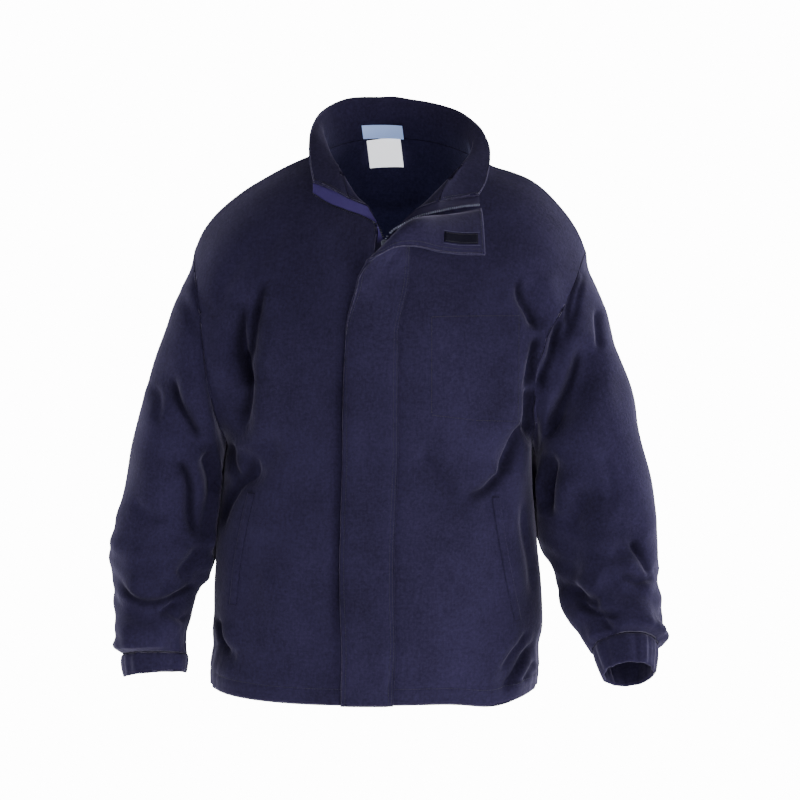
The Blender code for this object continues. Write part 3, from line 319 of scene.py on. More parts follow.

# The steepest side of a crease, the depth at which its painted shade is full, and the painted shade of a seam
CREASE_STEEPEST = 1.25
CREASE_PAINTED_SHADE_DEPTH = 5.0 * MM
CREASE_SHADE_REACH = 1.6
CREASE_SHADE_FROM = 0.5
SEAM_PAINTED_SHADE = 0.7

# Creases: cloth, depth and half width in mm, how much lower one side lies, then x and z along it
CREASES = (
    ("front", 10.2, 4.5, 0, -163, -145, -176, -191, -183, -236, -188, -264),
    ("front", 13.0, 5.0, 0, -192, -172, -199, -236, -195, -266, -187, -297, -201, -350),
    ("front", 13.0, 8.0, 0, -195, -240, -190, -267, -189, -294),
    ("front", 3.1, 9.0, 0, -164, -85, -195, -120, -216, -151, -226, -190),
    ("front", 3.1, 9.0, 0, -137, -76, -170, -121, -176, -146),
    ("front", 6.5, 5.0, 0, -179, -381, -189, -409, -202, -424, -219, -456, -229, -492),
    ("front", 5.1, 5.0, 0, -217, -370, -211, -394, -203, -418),
    ("front", 6.5, 5.0, 0, -236, -610, -230, -638, -217, -656),
    ("front", 2.6, 8.0, 0, -171, -519, -121, -568, -81, -621),
    ("front", 3.9, 6.0, 0, -46, -162, -59, -230, -64, -303, -70, -514, -71, -688),
    ("front", 8.7, 4.5, 0, 164, -144, 167, -171, 179, -192, 190, -214),
    ("front", 8.7, 5.0, 0, 189, -220, 184, -242, 182, -277, 171, -292),
    ("front", 8.7, 6.0, 0, 180, -291, 181, -321, 183, -362),
    ("front", 8.0, 6.0, 0, 174, -326, 166, -358, 149, -398, 126, -424, 93, -436),
    ("front", 3.4, 7.0, 0, 37, -364, 63, -405, 86, -432),
    ("front", 3.9, 6.0, 0, 171, -442, 174, -490, 185, -538, 189, -584),
    ("front", 5.1, 4.5, 0, 190, -639, 165, -673, 148, -694),
    ("front", 3.9, 4.0, 0, 192, -667, 174, -689),
    ("front", 3.9, 4.5, 0, 184, -623, 158, -652, 144, -667),
    ("right sleeve front", 8.0, 4.5, 0, -290, -279, -283, -305, -267, -335, -252, -363),
    ("right sleeve front", 8.7, 5.0, 0, -283, -385, -270, -420, -269, -467, -260, -501),
    ("right sleeve front", 3.4, 9.0, 0, -282, -166, -267, -195, -253, -230),
    ("right sleeve front", 3.9, 6.0, 0, -324, -289, -313, -310, -309, -343),
    ("right sleeve front", 10.2, 5.0, 1, -365, -553, -344, -572, -321, -577, -293, -573, -262, -562),
    ("right sleeve front", 8.7, 10.0, 0, -287, -547, -270, -529, -257, -508),
    ("right sleeve front", 3.9, 4.5, 0, -311, -594, -296, -589, -280, -583),
    ("right sleeve front", 3.9, 4.5, 0, -295, -593, -285, -603, -276, -609),
    ("right sleeve front", 11.6, 11.0, 0, -247, -363, -239, -419, -248, -474, -255, -507),
    ("right sleeve front", 3.4, 8.0, 0, -349, -445, -321, -463, -292, -463),
    ("left sleeve front", 10.9, 5.5, 0, 248, -238, 235, -281, 219, -327, 206, -361),
    ("left sleeve front", 9.4, 5.0, 0, 221, -195, 211, -237, 199, -277, 191, -298),
    ("left sleeve front", 5.8, 4.5, 0, 250, -139, 234, -175, 229, -216),
    ("left sleeve front", 5.1, 5.0, 0, 273, -189, 275, -216, 276, -244),
    ("left sleeve front", 6.5, 6.0, 0, 214, -377, 207, -426, 211, -470),
    ("left sleeve front", 4.2, 7.0, 0, 258, -428, 247, -452, 236, -474),
    ("left sleeve front", 5.1, 8.0, 0, 199, -368, 203, -414, 206, -463),
    ("left sleeve front", 10.9, 9.0, 0, 232, -557, 253, -569, 278, -573),
    ("left sleeve front", 5.1, 4.0, 0, 242, -576, 259, -585, 282, -586, 303, -586),
    ("left sleeve front", 5.8, 5.0, 0, 315, -492, 332, -521, 342, -541),
    ("left sleeve front", 5.1, 4.5, 0, 299, -535, 324, -544, 350, -545),
    ("left sleeve front", 3.9, 4.5, 0, 270, -587, 294, -606, 328, -604),
    ("left sleeve front", 3.1, 8.0, 0, 275, -373, 290, -414, 288, -460),
    ("right sleeve front", 4.5, 5.0, 0, -256, -140, -248, -190, -243, -240, -237, -290, -228, -330),
    ("left sleeve front", 4.5, 5.0, 0, 258, -140, 246, -168, 238, -200, 222, -232),
    ("flap", 3.2, 3.2, 0, 9, -106, 2, -116, -7, -130),
    ("flap", 2.2, 4.5, 0, -9, -625, -1, -666, -10, -705),
    ("flap", 1.5, 6.0, 0, -52, -300, -33, -353, -41, -406),
    ("back", 5.8, 7.0, 0, -190, -220, -160, -300, -150, -360),
    ("back", 5.8, 7.0, 0, 180, -230, 150, -310, 146, -370),
    ("back", 3.1, 9.0, 0, -60, -60, 0, -72, 60, -60),
    ("back", 5.8, 7.0, 0, -150, -360, -90, -400, -30, -404),
    ("back", 5.8, 7.0, 0, 150, -380, 90, -424, 30, -432),
    ("back", 3.4, 9.0, 0, -90, -150, -110, -230, -100, -320),
    ("back", 3.4, 9.0, 0, 100, -150, 116, -250, 104, -330),
    ("back", 5.1, 6.0, 0, -190, -640, -165, -672, -140, -694),
    ("back", 5.1, 6.0, 0, 176, -636, 160, -668, 136, -692),
    ("right sleeve back", 8.7, 5.5, 0, -300, -270, -280, -330, -250, -390),
    ("right sleeve back", 7.2, 5.5, 0, -340, -440, -310, -462, -276, -456),
    ("right sleeve back", 8.7, 5.5, 1, -366, -560, -326, -580, -284, -570),
    ("left sleeve back", 8.7, 5.5, 0, 292, -260, 262, -330, 226, -390),
    ("left sleeve back", 7.2, 5.5, 0, 256, -446, 296, -452, 330, -420),
    ("left sleeve back", 8.7, 5.5, 1, 268, -580, 310, -590, 352, -570),
)

# Elastic gathers: how many round a cuff, how deep, and how far up the sleeve they run
CUFF_PLEATS = (7, 12, 21)
CUFF_PLEAT_DEPTH = (1.5, 1.1, 0.45)
CUFF_PLEAT_RUN = 26 * MM
CUFF_BULGE = (0.5 * MM, 8.0 * MM)
CUFF_BULGE_AT = 8 * MM
CUFF_BULGE_LONG = 10 * MM
CUFF_TUCK = 6 * MM
CUFF_LAP = 0.8 * MM
CUFF_CURL = 1.8 * MM
CUFF_PLACES = (0.03, 0.07, 0.12, 0.18, 0.25, 0.33, 0.42)
CUFF_COLUMNS = 264
HEM_PLEAT_PITCH = 21 * MM
HEM_PLEAT_DEPTH = 1.3 * MM
HEM_PLEAT_REACH = 46 * MM
HEM_PLEAT_TOP = -0.645
# Where the hem hangs lower: x, how much and how wide
HEM_DROOP = (138 * MM, 9 * MM, 42 * MM)
# Below this height the blue tape is painted in the navy tape's colour, as painted shade.
PAINTED_SHADE_BELOW = -98 * MM

# Distances from the flap's free edge, as parts of its width
FLAP_PLACES = (0, 0.02, 0.045, 0.07, 0.09, 0.11, 0.14, 0.19, 0.26, 0.34, 0.42, 0.5, 0.58, 0.66,
               0.74, 0.8, 0.85, 0.885, 0.905, 0.925, 0.95, 0.975, 1.0)
FLAP_STITCHED = (0.09, 0.905)
FLAP_PUFF = 1.0 * MM

# Stitched outline of the inner chest pocket, x and z
CHEST_POCKET = ((52, -194), (52, -322), (110, -331), (166, -334), (166, -194), (52, -194))

# How far a label leans to one side over its height
LABEL_LEAN = 0.12

# How much further the hook patch reaches along the flap
PATCH_LONGER = 5 * MM
PATCH_BAND = (PATCH_ACROSS[0] + 0.035, PATCH_ACROSS[1] - 0.035)

# Zip teeth
TOOTH_PITCH = 3.2 * MM
TOOTH_WIDE = 2.6 * MM
TOOTH_TALL = 1.05 * MM

# width, length and area of each flat cut, in metres and square metres, and how it is held
CUTS = {
    "right_front_cloth": (0.30, 0.76, 0.170, "hung"),
    "left_front_cloth": (0.30, 0.76, 0.165, "hung"),
    "back_cloth": (0.62, 0.79, 0.400, "hung"),
    "right_sleeve_cloth": (0.56, 0.60, 0.235, "hung"),
    "left_sleeve_cloth": (0.58, 0.60, 0.235, "hung"),
    "collar_cloth": (0.46, 0.075, 0.030, "folded"),
    "right_cuff_cloth": (0.26, 0.030, None, "gathered"),
    "left_cuff_cloth": (0.26, 0.040, None, "gathered"),
    "storm_flap_cloth": (0.075, 0.74, None, "folded"),
}

# ---------------------------------------------------------------- shared form


def through(points, steps=10):
    """A smooth line through the given points, as many short steps."""
    p = np.array(points, float)
    p = np.concatenate([2 * p[:1] - p[1:2], p, 2 * p[-1:] - p[-2:-1]])
    t = np.linspace(0, 1, steps, endpoint=False).reshape((-1,) + (1,) * (p.ndim - 1))
    spans = []
    for a, b, c, d in zip(p, p[1:], p[2:], p[3:]):
        spans.append(0.5 * (2 * b + (c - a) * t + (2 * a - 5 * b + 4 * c - d) * t**2
                            + (3 * b - a - 3 * c + d) * t**3))
    return np.concatenate(spans + [p[-2:-1]])


def spaced(line, count):
    """That many points at equal distances along a line."""
    step = np.linalg.norm(np.diff(line, axis=0), axis=1)
    length = np.concatenate([[0], np.cumsum(step)])
    at = np.linspace(0, length[-1], count)
    return np.stack([np.interp(at, length, column) for column in line.T], axis=1)


def seam(points, count):
    """A seam through points given in millimetres."""
    return spaced(through(np.array(points) * MM), count)


def unit(vectors):
    return vectors / np.maximum(np.linalg.norm(vectors, axis=-1, keepdims=True), 1e-12)


def body_sizes(z):
    """Half width, depth in front, depth behind and centre of the body at a height."""
    table = through(BODY_SECTIONS) * MM
    return [np.interp(z, table[:, 0], table[:, column]) for column in range(1, 5)]


def quarter(z, side, face, count):
    """A quarter of the body's section, from its centre line or front edge to the side seam."""
    half_width, front, behind, centre = body_sizes(z)
    depth = front if face < 0 else behind
    angle = np.linspace(0, math.pi / 2, 160)
    x = side * half_width * np.sin(angle) ** (2 / ROUNDNESS)
    y = SIDE_Y + face * (depth + face * SIDE_Y) * np.cos(angle) ** (2 / ROUNDNESS)
    line = np.stack([x, y, np.full_like(x, z)], axis=1)
    if face < 0:
        line = line[np.abs(x) > EDGE_FROM_CENTRE]
        line = np.vstack([[side * EDGE_FROM_CENTRE, line[0, 1], z], line])
    line[:, 0] += centre
    return spaced(line, count)


def patch(bottom, top, inner, outer):
    """A surface that meets four edges: bottom and top run outwards, inner and outer run up."""
    u = np.linspace(0, 1, len(bottom))[None, :, None]
    v = np.linspace(0, 1, len(inner))[:, None, None]
    across = (1 - v) * bottom[None] + v * top[None]
    along = (1 - u) * inner[:, None] + u * outer[:, None]
    corners = ((1 - u) * (1 - v) * bottom[0] + u * (1 - v) * bottom[-1]
               + (1 - u) * v * top[0] + u * v * top[-1])
    return across + along - corners


def body_quarter(side, face, edge_top, neck, shoulder, armhole):
    """Rows of a front or half back, from the hem to the neck and shoulder seam."""
    heights = np.linspace(HEM_Z, UNDERARM_Z, LOWER_ROWS + 1)
    lower = np.stack([quarter(z, side, face, PANEL_COLUMNS + 1) for z in heights])
    bottom = lower[-1]
    neck_line = seam(neck, NECK_COLUMNS + 1)
    shoulder_line = seam(shoulder, PANEL_COLUMNS - NECK_COLUMNS + 1)
    top = np.vstack([neck_line, shoulder_line[1:]])
    edge = np.vstack([bottom[:1], np.array(edge_top) * MM])
    inner = spaced(through(edge), UPPER_ROWS + 1)
    hole = np.vstack([np.array(armhole) * MM, bottom[-1:]])
    outer = spaced(through(hole), UPPER_ROWS + 1)[::-1]
    upper = patch(bottom, top, inner, outer)
    return np.concatenate([lower[:-1], arched(upper, face)])


def arched(upper, face):
    """Rounds the cloth over the shoulder, so that front and back meet in an arch."""
    outwards = own_normals(upper)
    outwards *= np.sign(outwards @ np.array((0, face, 0.5)))[..., None]
    away = np.linalg.norm(upper - upper[-1:], axis=-1) / ARCH_REACH
    across = np.linspace(0, 1, upper.shape[1])
    share = np.sin(math.pi * np.clip((across - ARCH_FROM) / (1 - ARCH_FROM), 0, 1)) ** 0.6
    return upper + outwards * (ARCH_RISE * away * np.exp(1 - away) * share)[..., None]


def loop_of(row, count):
    """A sleeve or cuff section: starts on the outer side and runs by the front and the inside."""
    outer_x, outer_z, inner_x, inner_z, outer_y, inner_y, half_depth, tilt = row
    outer = np.array((outer_x, outer_y, outer_z)) * MM
    inner = np.array((inner_x, inner_y, inner_z)) * MM
    forward = np.array((0, -math.cos(math.radians(tilt)), math.sin(math.radians(tilt))))
    angle = np.linspace(0, 2 * math.pi, count, endpoint=False)[:, None]
    return ((outer + inner) / 2 + (outer - inner) / 2 * np.cos(angle)
            + forward * half_depth * MM * np.sin(angle))


def clear_of_body(points, air):
    """Moves sleeve points that would enter the body out to just clear of it, softly towards the armhole."""
    half_width, front, behind, centre = body_sizes(points[..., 2])
    x = points[..., 0] - centre
    y = points[..., 1] - SIDE_Y
    depth = np.where(y < 0, front + SIDE_Y, behind - SIDE_Y)
    ratio = ((np.abs(x) / (half_width + air)) ** ROUNDNESS
             + (np.abs(y) / (depth + air)) ** ROUNDNESS) ** (1 / ROUNDNESS)
    share = np.clip((UNDERARM_Z + CLEAR_FADE - points[..., 2]) / CLEAR_FADE, 0, 1)
    grow = 1 + (1 / np.minimum(ratio, 1) - 1) * share
    moved = points.copy()
    moved[..., 0] = centre + x * grow
    moved[..., 1] = SIDE_Y + y * grow
    return moved


def sleeve_rows(front, back, table):
    """Rows of a sleeve, from the armhole seam, which it shares with the body, to the cuff seam."""
    hole_front = front[LOWER_ROWS:, -1][::-1]
    hole_back = back[LOWER_ROWS:, -1]
    hole = np.vstack([hole_front, hole_back[1:-1]])
    sections = [hole] + [loop_of(row, len(hole)) for row in table]
    rows = through(np.stack(sections), SLEEVE_STEPS)
    rows[1:] = clear_of_body(rows[1:], SLEEVE_AIR)
    return rows


def collar_rows(base, top):
    """Rows of the collar from the neck seam to its top edge, rolled outwards a little."""
    t = np.linspace(0, 1, COLLAR_ROWS + 1)[:, None, None]
    middle = (base + top) / 2 * (1, 1, 0)
    outwards = unit(middle - middle.mean(axis=0))
    return base[None] * (1 - t) + top[None] * t - outwards[None] * COLLAR_ROLL * 4 * t * (1 - t)


def keys_of(grids):
    """One number for each place that grid points share, for every point of every grid."""
    points = np.concatenate([grid.reshape(-1, 3) for grid in grids])
    rounded = np.round(points / (0.01 * MM)).astype(np.int64)
    return np.unique(rounded, axis=0, return_inverse=True)[1].reshape(-1)


def links_of(grids, keys):
    """Each pair of places that are neighbours in some grid, both ways round."""
    links = []
    start = 0
    for grid, round_it in grids:
        number = keys[start:start + grid.shape[0] * grid.shape[1]].reshape(grid.shape[:2])
        start += number.size
        links.append(np.stack([number[:-1].ravel(), number[1:].ravel()], axis=1))
        beside = np.roll(number, -1, axis=1) if round_it else number[:, 1:]
        here = number if round_it else number[:, :-1]
        links.append(np.stack([here.ravel(), beside.ravel()], axis=1))
    links = np.unique(np.sort(np.concatenate(links), axis=1), axis=0)
    return np.concatenate([links, links[:, ::-1]])


def evened(grids, values, softness, turns):
    """Moves the value at each place towards its neighbours' mean, as far as its softness, turn by turn."""
    keys = keys_of([grid for grid, _ in grids])
    both = links_of(grids, keys)
    place = np.zeros((keys.max() + 1, 3))
    place[keys] = np.concatenate([value.reshape(-1, 3) for value in values])
    soft = np.ones(len(place))
    np.minimum.at(soft, keys, np.concatenate([part.reshape(-1) for part in softness]))
    degree = np.bincount(both[:, 0], minlength=len(place))[:, None]
    for _ in range(turns):
        total = np.zeros_like(place)
        np.add.at(total, both[:, 0], place[both[:, 1]])
        place += (total / degree - place) * soft[:, None] * 0.5
    sizes = [grid.shape[0] * grid.shape[1] for grid, _ in grids]
    parts = np.split(place[keys], np.cumsum(sizes)[:-1])
    return [part.reshape(grid.shape) for part, (grid, _) in zip(parts, grids)]


def shared_normals(grids):
    """The cloth's own directions at each grid point, the same on both sides of every seam."""
    points, normals = [], []
    for grid, round_it in grids:
        left = grid if round_it else grid[:, :-1]
        right = np.roll(grid, -1, axis=1) if round_it else grid[:, 1:]
        corners = (left[:-1], right[:-1], right[1:], left[1:])
        normal = np.cross(corners[2] - corners[0], corners[3] - corners[1])
        points += [corner.reshape(-1, 3) for corner in corners]
        normals += [normal.reshape(-1, 3)] * 4
    sizes = [grid.shape[0] * grid.shape[1] for grid, _ in grids]
    points += [grid.reshape(-1, 3) for grid, _ in grids]
    keys = np.round(np.concatenate(points) / (0.01 * MM)).astype(np.int64)
    _, index = np.unique(keys, axis=0, return_inverse=True)
    index = index.reshape(-1)
    total = np.zeros((index.max() + 1, 3))
    faces = sum(len(normal) for normal in normals)
    np.add.at(total, index[:faces], np.concatenate(normals))
    parts = np.split(total[index[faces:]], np.cumsum(sizes)[:-1])
    return [unit(part).reshape(grid.shape) for part, (grid, _) in zip(parts, grids)]


def own_normals(grid, round_it=False):
    return shared_normals([(grid, round_it)])[0]


def softness_of(grids):
    """How far each point may even out: none at hems, edges and neck, a little along the seams."""
    parts = []
    for name, (grid, _) in grids.items():
        soft = np.zeros(grid.shape[:2])
        if name in ("front_right", "front_left", "back"):
            up = np.arange(grid.shape[0]) - (LOWER_ROWS - 3)
            soft[:] = np.clip(up / 3, 0, 1)[:, None]
            soft[-1] = SHOULDER_SOFT
            neck = slice(0, NECK_COLUMNS + 1)
            if name == "front_left":
                soft[-1, neck] = 0
                soft[:, 0] = 0
            elif name == "front_right":
                soft[-1, ::-1][neck] = 0
                soft[:, -1] = 0
            else:
                half = grid.shape[1] // 2
                soft[-1, half - NECK_COLUMNS:half + NECK_COLUMNS + 1] = 0
        elif name.startswith("sleeve"):
            rows = np.arange(grid.shape[0])
            if name == "sleeve_right":
                rows = rows[::-1]
            soft[:] = np.clip(1 - (rows - 4) / 4, 0, 1)[:, None]
            soft[rows == 0] = ARMHOLE_SOFT
        parts.append(soft)
    return parts


def base_cloth():
    """The cloth surfaces without folds, as grids whose columns and rows turn outwards."""
    right_front = body_quarter(-1, -1, RIGHT_EDGE_TOP, RIGHT_NECK, RIGHT_SHOULDER,
                               RIGHT_ARMHOLE_FRONT)
    left_front = body_quarter(1, -1, LEFT_EDGE_TOP, LEFT_NECK, LEFT_SHOULDER, LEFT_ARMHOLE_FRONT)
    right_back = body_quarter(-1, 1, CENTRE_BACK[::-1], BACK_NECK_RIGHT, RIGHT_SHOULDER,
                              RIGHT_ARMHOLE_BACK)
    left_back = body_quarter(1, 1, CENTRE_BACK[::-1], BACK_NECK_LEFT, LEFT_SHOULDER,
                             LEFT_ARMHOLE_BACK)
    right_sleeve = sleeve_rows(right_front, right_back, RIGHT_SLEEVE)
    left_sleeve = sleeve_rows(left_front, left_back, LEFT_SLEEVE)
    each = NECK_COLUMNS + 1
    base = np.vstack([left_front[-1, :each], left_back[-1, :each][::-1][1:],
                      right_back[-1, 1:each], right_front[-1, :each][::-1][1:]])
    top = np.vstack([seam(COLLAR_TOP_LEFT, each), seam(COLLAR_TOP_BACK_LEFT, each)[1:],
                     seam(COLLAR_TOP_BACK_RIGHT, each)[::-1][1:],
                     seam(COLLAR_TOP_RIGHT, each)[::-1][1:]])
    grids = {
        "front_right": (right_front[:, ::-1], False),
        "front_left": (left_front, False),
        "back": (np.concatenate([left_back[:, ::-1], right_back[:, 1:]], axis=1), False),
        "sleeve_right": (right_sleeve[::-1], True),
        "sleeve_left": (left_sleeve, True),
        "collar": (collar_rows(base, top), False),
    }
    smooth = evened(list(grids.values()), [grid for grid, _ in grids.values()], softness_of(grids),
                    RELAX_TURNS)
    return {name: (grid, grids[name][1]) for name, grid in zip(grids, smooth)}


def across_front(cloth, row):
    """One row of both fronts, from the right side seam over the closed zip to the left one."""
    right = cloth["front_right"][0][row]
    left = cloth["front_left"][0][row]
    line = np.vstack([right, left])
    step = np.concatenate([[0], np.cumsum(np.linalg.norm(np.diff(line, axis=0), axis=1))])
    middle = (step[len(right) - 1] + step[len(right)]) / 2
    return line, step - middle


def on_front(cloth, row, reach, out):
    """Points of the fronts at signed distances from the zip, moved out from the cloth."""
    line, distance = across_front(cloth, row)
    points = np.stack([np.interp(reach, distance, column) for column in line.T], axis=1)
    ahead = np.stack([np.interp(reach + 4 * MM, distance, column) for column in line.T], axis=1)
    behind = np.stack([np.interp(reach - 4 * MM, distance, column) for column in line.T], axis=1)
    outwards = unit(np.cross(ahead - behind, (0, 0, 1)))
    return points + outwards * out


def zip_lines(cloth, normals):
    """Each front edge from hem to collar corner: outward directions, teeth line, last closed row."""
    lines = {}
    for side, name, column, collar_column, teeth in (
        (-1, "front_right", -1, -1, RIGHT_TEETH),
        (1, "front_left", 0, 0, LEFT_TEETH),
    ):
        front = cloth[name][0][:, column]
        edge = np.vstack([front, cloth["collar"][0][1:, collar_column]])
        closed = int(np.sum(front[:, 2] < CLOSED_BELOW)) - 1
        inwards = np.array((-side, 0.0, 0.0))
        free = edge[:closed + 1] + inwards * (EDGE_FROM_CENTRE - CHAIN_HALF)
        rest = through(np.vstack([free[-1:], np.array(teeth) * MM]))
        step = np.concatenate([[0], np.cumsum(np.linalg.norm(np.diff(edge[closed:], axis=0), axis=1))])
        along = np.concatenate([[0], np.cumsum(np.linalg.norm(np.diff(rest, axis=0), axis=1))])
        at = step / step[-1] * along[-1]
        free = np.vstack([free[:-1], np.stack([np.interp(at, along, c) for c in rest.T], axis=1)])
        facing = np.vstack([normals[name][:, column], normals["collar"][1:, collar_column]])
        lines[name] = (edge, facing, free, closed)
    return lines


def along_columns(grid, x):
    """The points of every row of a grid where it crosses a given x."""
    return np.stack([[np.interp(x, row[:, 0], row[:, axis]) for axis in range(3)] for row in grid])


def on_cloth(grid, normals, x, z, out):
    """A point of a front at a given x and z, moved out from the cloth."""
    places = along_columns(grid, x)
    ways = np.stack([[np.interp(x, row[:, 0], way[:, axis]) for axis in range(3)]
                     for row, way in zip(grid, normals)])
    place = np.array([np.interp(z, places[:, 2], places[:, axis]) for axis in range(3)])
    way = unit(np.array([np.interp(z, places[:, 2], ways[:, axis]) for axis in range(3)]))
    return place + way * out


# ---------------------------------------------------------------- finer cloth


def line_at(points, at, closed=False):
    """A smooth line or surface through rows of points, at places counted in rows."""
    if closed:
        p = np.concatenate([points[-1:], points, points[:2]])
        spans = len(points)
    else:
        p = np.concatenate([2 * points[:1] - points[1:2], points, 2 * points[-1:] - points[-2:-1]])
        spans = len(points) - 1
    first = np.clip(np.floor(at).astype(int), 0, spans - 1)
    t = (np.asarray(at) - first).reshape((-1,) + (1,) * (points.ndim - 1))
    a, b, c, d = (p[first + i] for i in range(4))
    return 0.5 * (2 * b + (c - a) * t + (2 * a - 5 * b + 4 * c - d) * t**2
                  + (3 * b - a - 3 * c + d) * t**3)


def places(count, steps, first=(), last=()):
    """Places along a grid of so many spans, with extra ones near its first and last edge."""
    extra = np.array([*first, *(count - place for place in last)])
    even = np.linspace(0, count, count * steps + 1)
    if len(extra):
        near = np.abs(even[:, None] - extra).min(axis=1) < 0.35 / steps
        near[[0, -1]] = False
        even = even[~near]
    return np.unique(np.concatenate([even, extra]))


def edge_moved(grid, side, line, reach):
    """Moves one edge of a grid onto a line, and the cloth next to it along, less and less."""
    if side in ("first", "last"):
        return np.swapaxes(edge_moved(np.swapaxes(grid, 0, 1), {"first": "bottom", "last": "top"}[side],
                                      line, reach), 0, 1)
    turned = grid if side == "bottom" else grid[::-1]
    away = np.cumsum(np.linalg.norm(np.diff(turned, axis=0), axis=-1), axis=0)
    away = np.concatenate([np.zeros((1,) + away.shape[1:]), away])
    share = np.clip(1 - away / reach, 0, 1)
    share = share * share * (3 - 2 * share)
    moved = turned + (line - turned[0])[None] * share[..., None]
    return moved if side == "bottom" else moved[::-1]


def rejoined(grids, under, over):
    """The cloth with its side, shoulder, armhole and neck seams closed again.

    under is the row of the underarm, and over the number of columns along a shoulder seam.
    """
    grids = dict(grids)
    right, left, back = grids["front_right"], grids["front_left"], grids["back"]
    side = (right[:under + 1, 0] + back[:under + 1, -1]) / 2
    right = edge_moved(right, "first", np.vstack([side, right[under + 1:, 0]]), SEAM_REACH)
    back = edge_moved(back, "last", np.vstack([side, back[under + 1:, -1]]), SEAM_REACH)
    side = (left[:under + 1, -1] + back[:under + 1, 0]) / 2
    left = edge_moved(left, "last", np.vstack([side, left[under + 1:, -1]]), SEAM_REACH)
    back = edge_moved(back, "first", np.vstack([side, back[under + 1:, 0]]), SEAM_REACH)
    top = back[-1].copy()
    top[:over] = (back[-1, :over] + left[-1, -over:][::-1]) / 2
    top[-over:] = (back[-1, -over:] + right[-1, :over][::-1]) / 2
    back = edge_moved(back, "top", top, SEAM_REACH)
    line = left[-1].copy()
    line[-over:] = top[:over][::-1]
    left = edge_moved(left, "top", line, SEAM_REACH)
    line = right[-1].copy()
    line[:over] = top[-over:][::-1]
    right = edge_moved(right, "top", line, SEAM_REACH)
    grids.update(front_right=right, front_left=left, back=back)
    for sleeve, front, outer, behind, edge in (
        ("sleeve_right", right, 0, -1, "top"), ("sleeve_left", left, -1, 0, "bottom"),
    ):
        hole = np.vstack([front[under:, outer][::-1], back[under + 1:-1, behind]])
        grids[sleeve] = edge_moved(grids[sleeve], edge, hole, SEAM_REACH)
    base = np.vstack([left[-1, :-over + 1], top[over:-over], right[-1, over - 1:]])
    grids["collar"] = edge_moved(grids["collar"], "bottom", base, SEAM_REACH)
    return grids


def turn_places(up):
    """Where the columns of a sleeve lie round it, counted in the armhole's rows."""
    upper = up[up >= LOWER_ROWS]
    return np.concatenate([LOWER_ROWS + UPPER_ROWS - upper[::-1], upper[1:-1]])


def panel_rows(steps):
    """Where the rows of the fronts and the back lie, counted in the pattern's rows."""
    hem = HEM_HEIGHT / ((UNDERARM_Z - HEM_Z) / LOWER_ROWS)
    return places(LOWER_ROWS + UPPER_ROWS, steps, EDGE_PLACES[:2] + (hem - 0.07, hem, hem + 0.07),
                  EDGE_PLACES)


def fine_grids(steps):
    """The cloth without folds, divided finely, its underarm row and its shoulder's column count."""
    coarse = base_cloth()
    up = panel_rows(steps)
    front = places(PANEL_COLUMNS, steps, EDGE_PLACES, EDGE_PLACES)
    half = places(PANEL_COLUMNS, steps, (), EDGE_PLACES)
    back = np.concatenate([PANEL_COLUMNS - half[::-1], PANEL_COLUMNS + half[1:]])
    fine = {}
    for name, across in (("front_right", PANEL_COLUMNS - front[::-1]), ("front_left", front),
                         ("back", back)):
        rows = line_at(coarse[name][0], up)
        fine[name] = np.swapaxes(line_at(np.swapaxes(rows, 0, 1), across), 0, 1)
    round_places = turn_places(up)
    for name in ("sleeve_right", "sleeve_left"):
        grid = coarse[name][0]
        count = grid.shape[0] - 1
        ends = (CUFF_PLACES, EDGE_PLACES) if name == "sleeve_right" else (EDGE_PLACES, CUFF_PLACES)
        along = places(count, steps, *ends)
        columns = line_at(np.swapaxes(grid, 0, 1), round_places, closed=True)
        fine[name] = line_at(np.swapaxes(columns, 0, 1), along)
    grid = coarse["collar"][0]
    neck_front = front[front <= NECK_COLUMNS]
    neck_back = back[(back > PANEL_COLUMNS - NECK_COLUMNS) & (back < PANEL_COLUMNS + NECK_COLUMNS)]
    around = np.concatenate([neck_front, neck_back - (PANEL_COLUMNS - 2 * NECK_COLUMNS),
                             4 * NECK_COLUMNS - neck_front[::-1]])
    tall = places(COLLAR_ROWS, steps, EDGE_PLACES[:2], EDGE_PLACES[:2])
    rows = line_at(grid, tall)
    fine["collar"] = np.swapaxes(line_at(np.swapaxes(rows, 0, 1), around), 0, 1)
    return fine, int(np.searchsorted(up, LOWER_ROWS)), int(np.sum(front >= NECK_COLUMNS))


def fold_depth(points, cloth):
    """How far the folds of one cloth push each of its points inwards."""
    depth = np.zeros(points.shape[:-1])
    x, z = points[..., 0], points[..., 2]
    for name, x0, z0, x1, z1, x2, z2, deep, reach in FOLDS:
        if name != cloth:
            continue
        line = spaced(through(np.array(((x0, z0), (x1, z1), (x2, z2))) * MM), 41)
        away = np.hypot(x[..., None] - line[:, 0], z[..., None] - line[:, 1])
        nearest = away.argmin(axis=-1)
        distance = away.min(axis=-1) / (reach * MM / FOLD_SHARPER)
        along = nearest / (len(line) - 1)
        fade = rise_over(np.minimum(along, 1 - along), -0.05, 1.5 * FOLD_FADE)
        trough = np.exp(-(distance**2)) - 0.3 * np.exp(-(((distance - 2.0) / 1.15) ** 2))
        depth += deep / FOLD_SHALLOWER * MM * fade * trough
    return depth


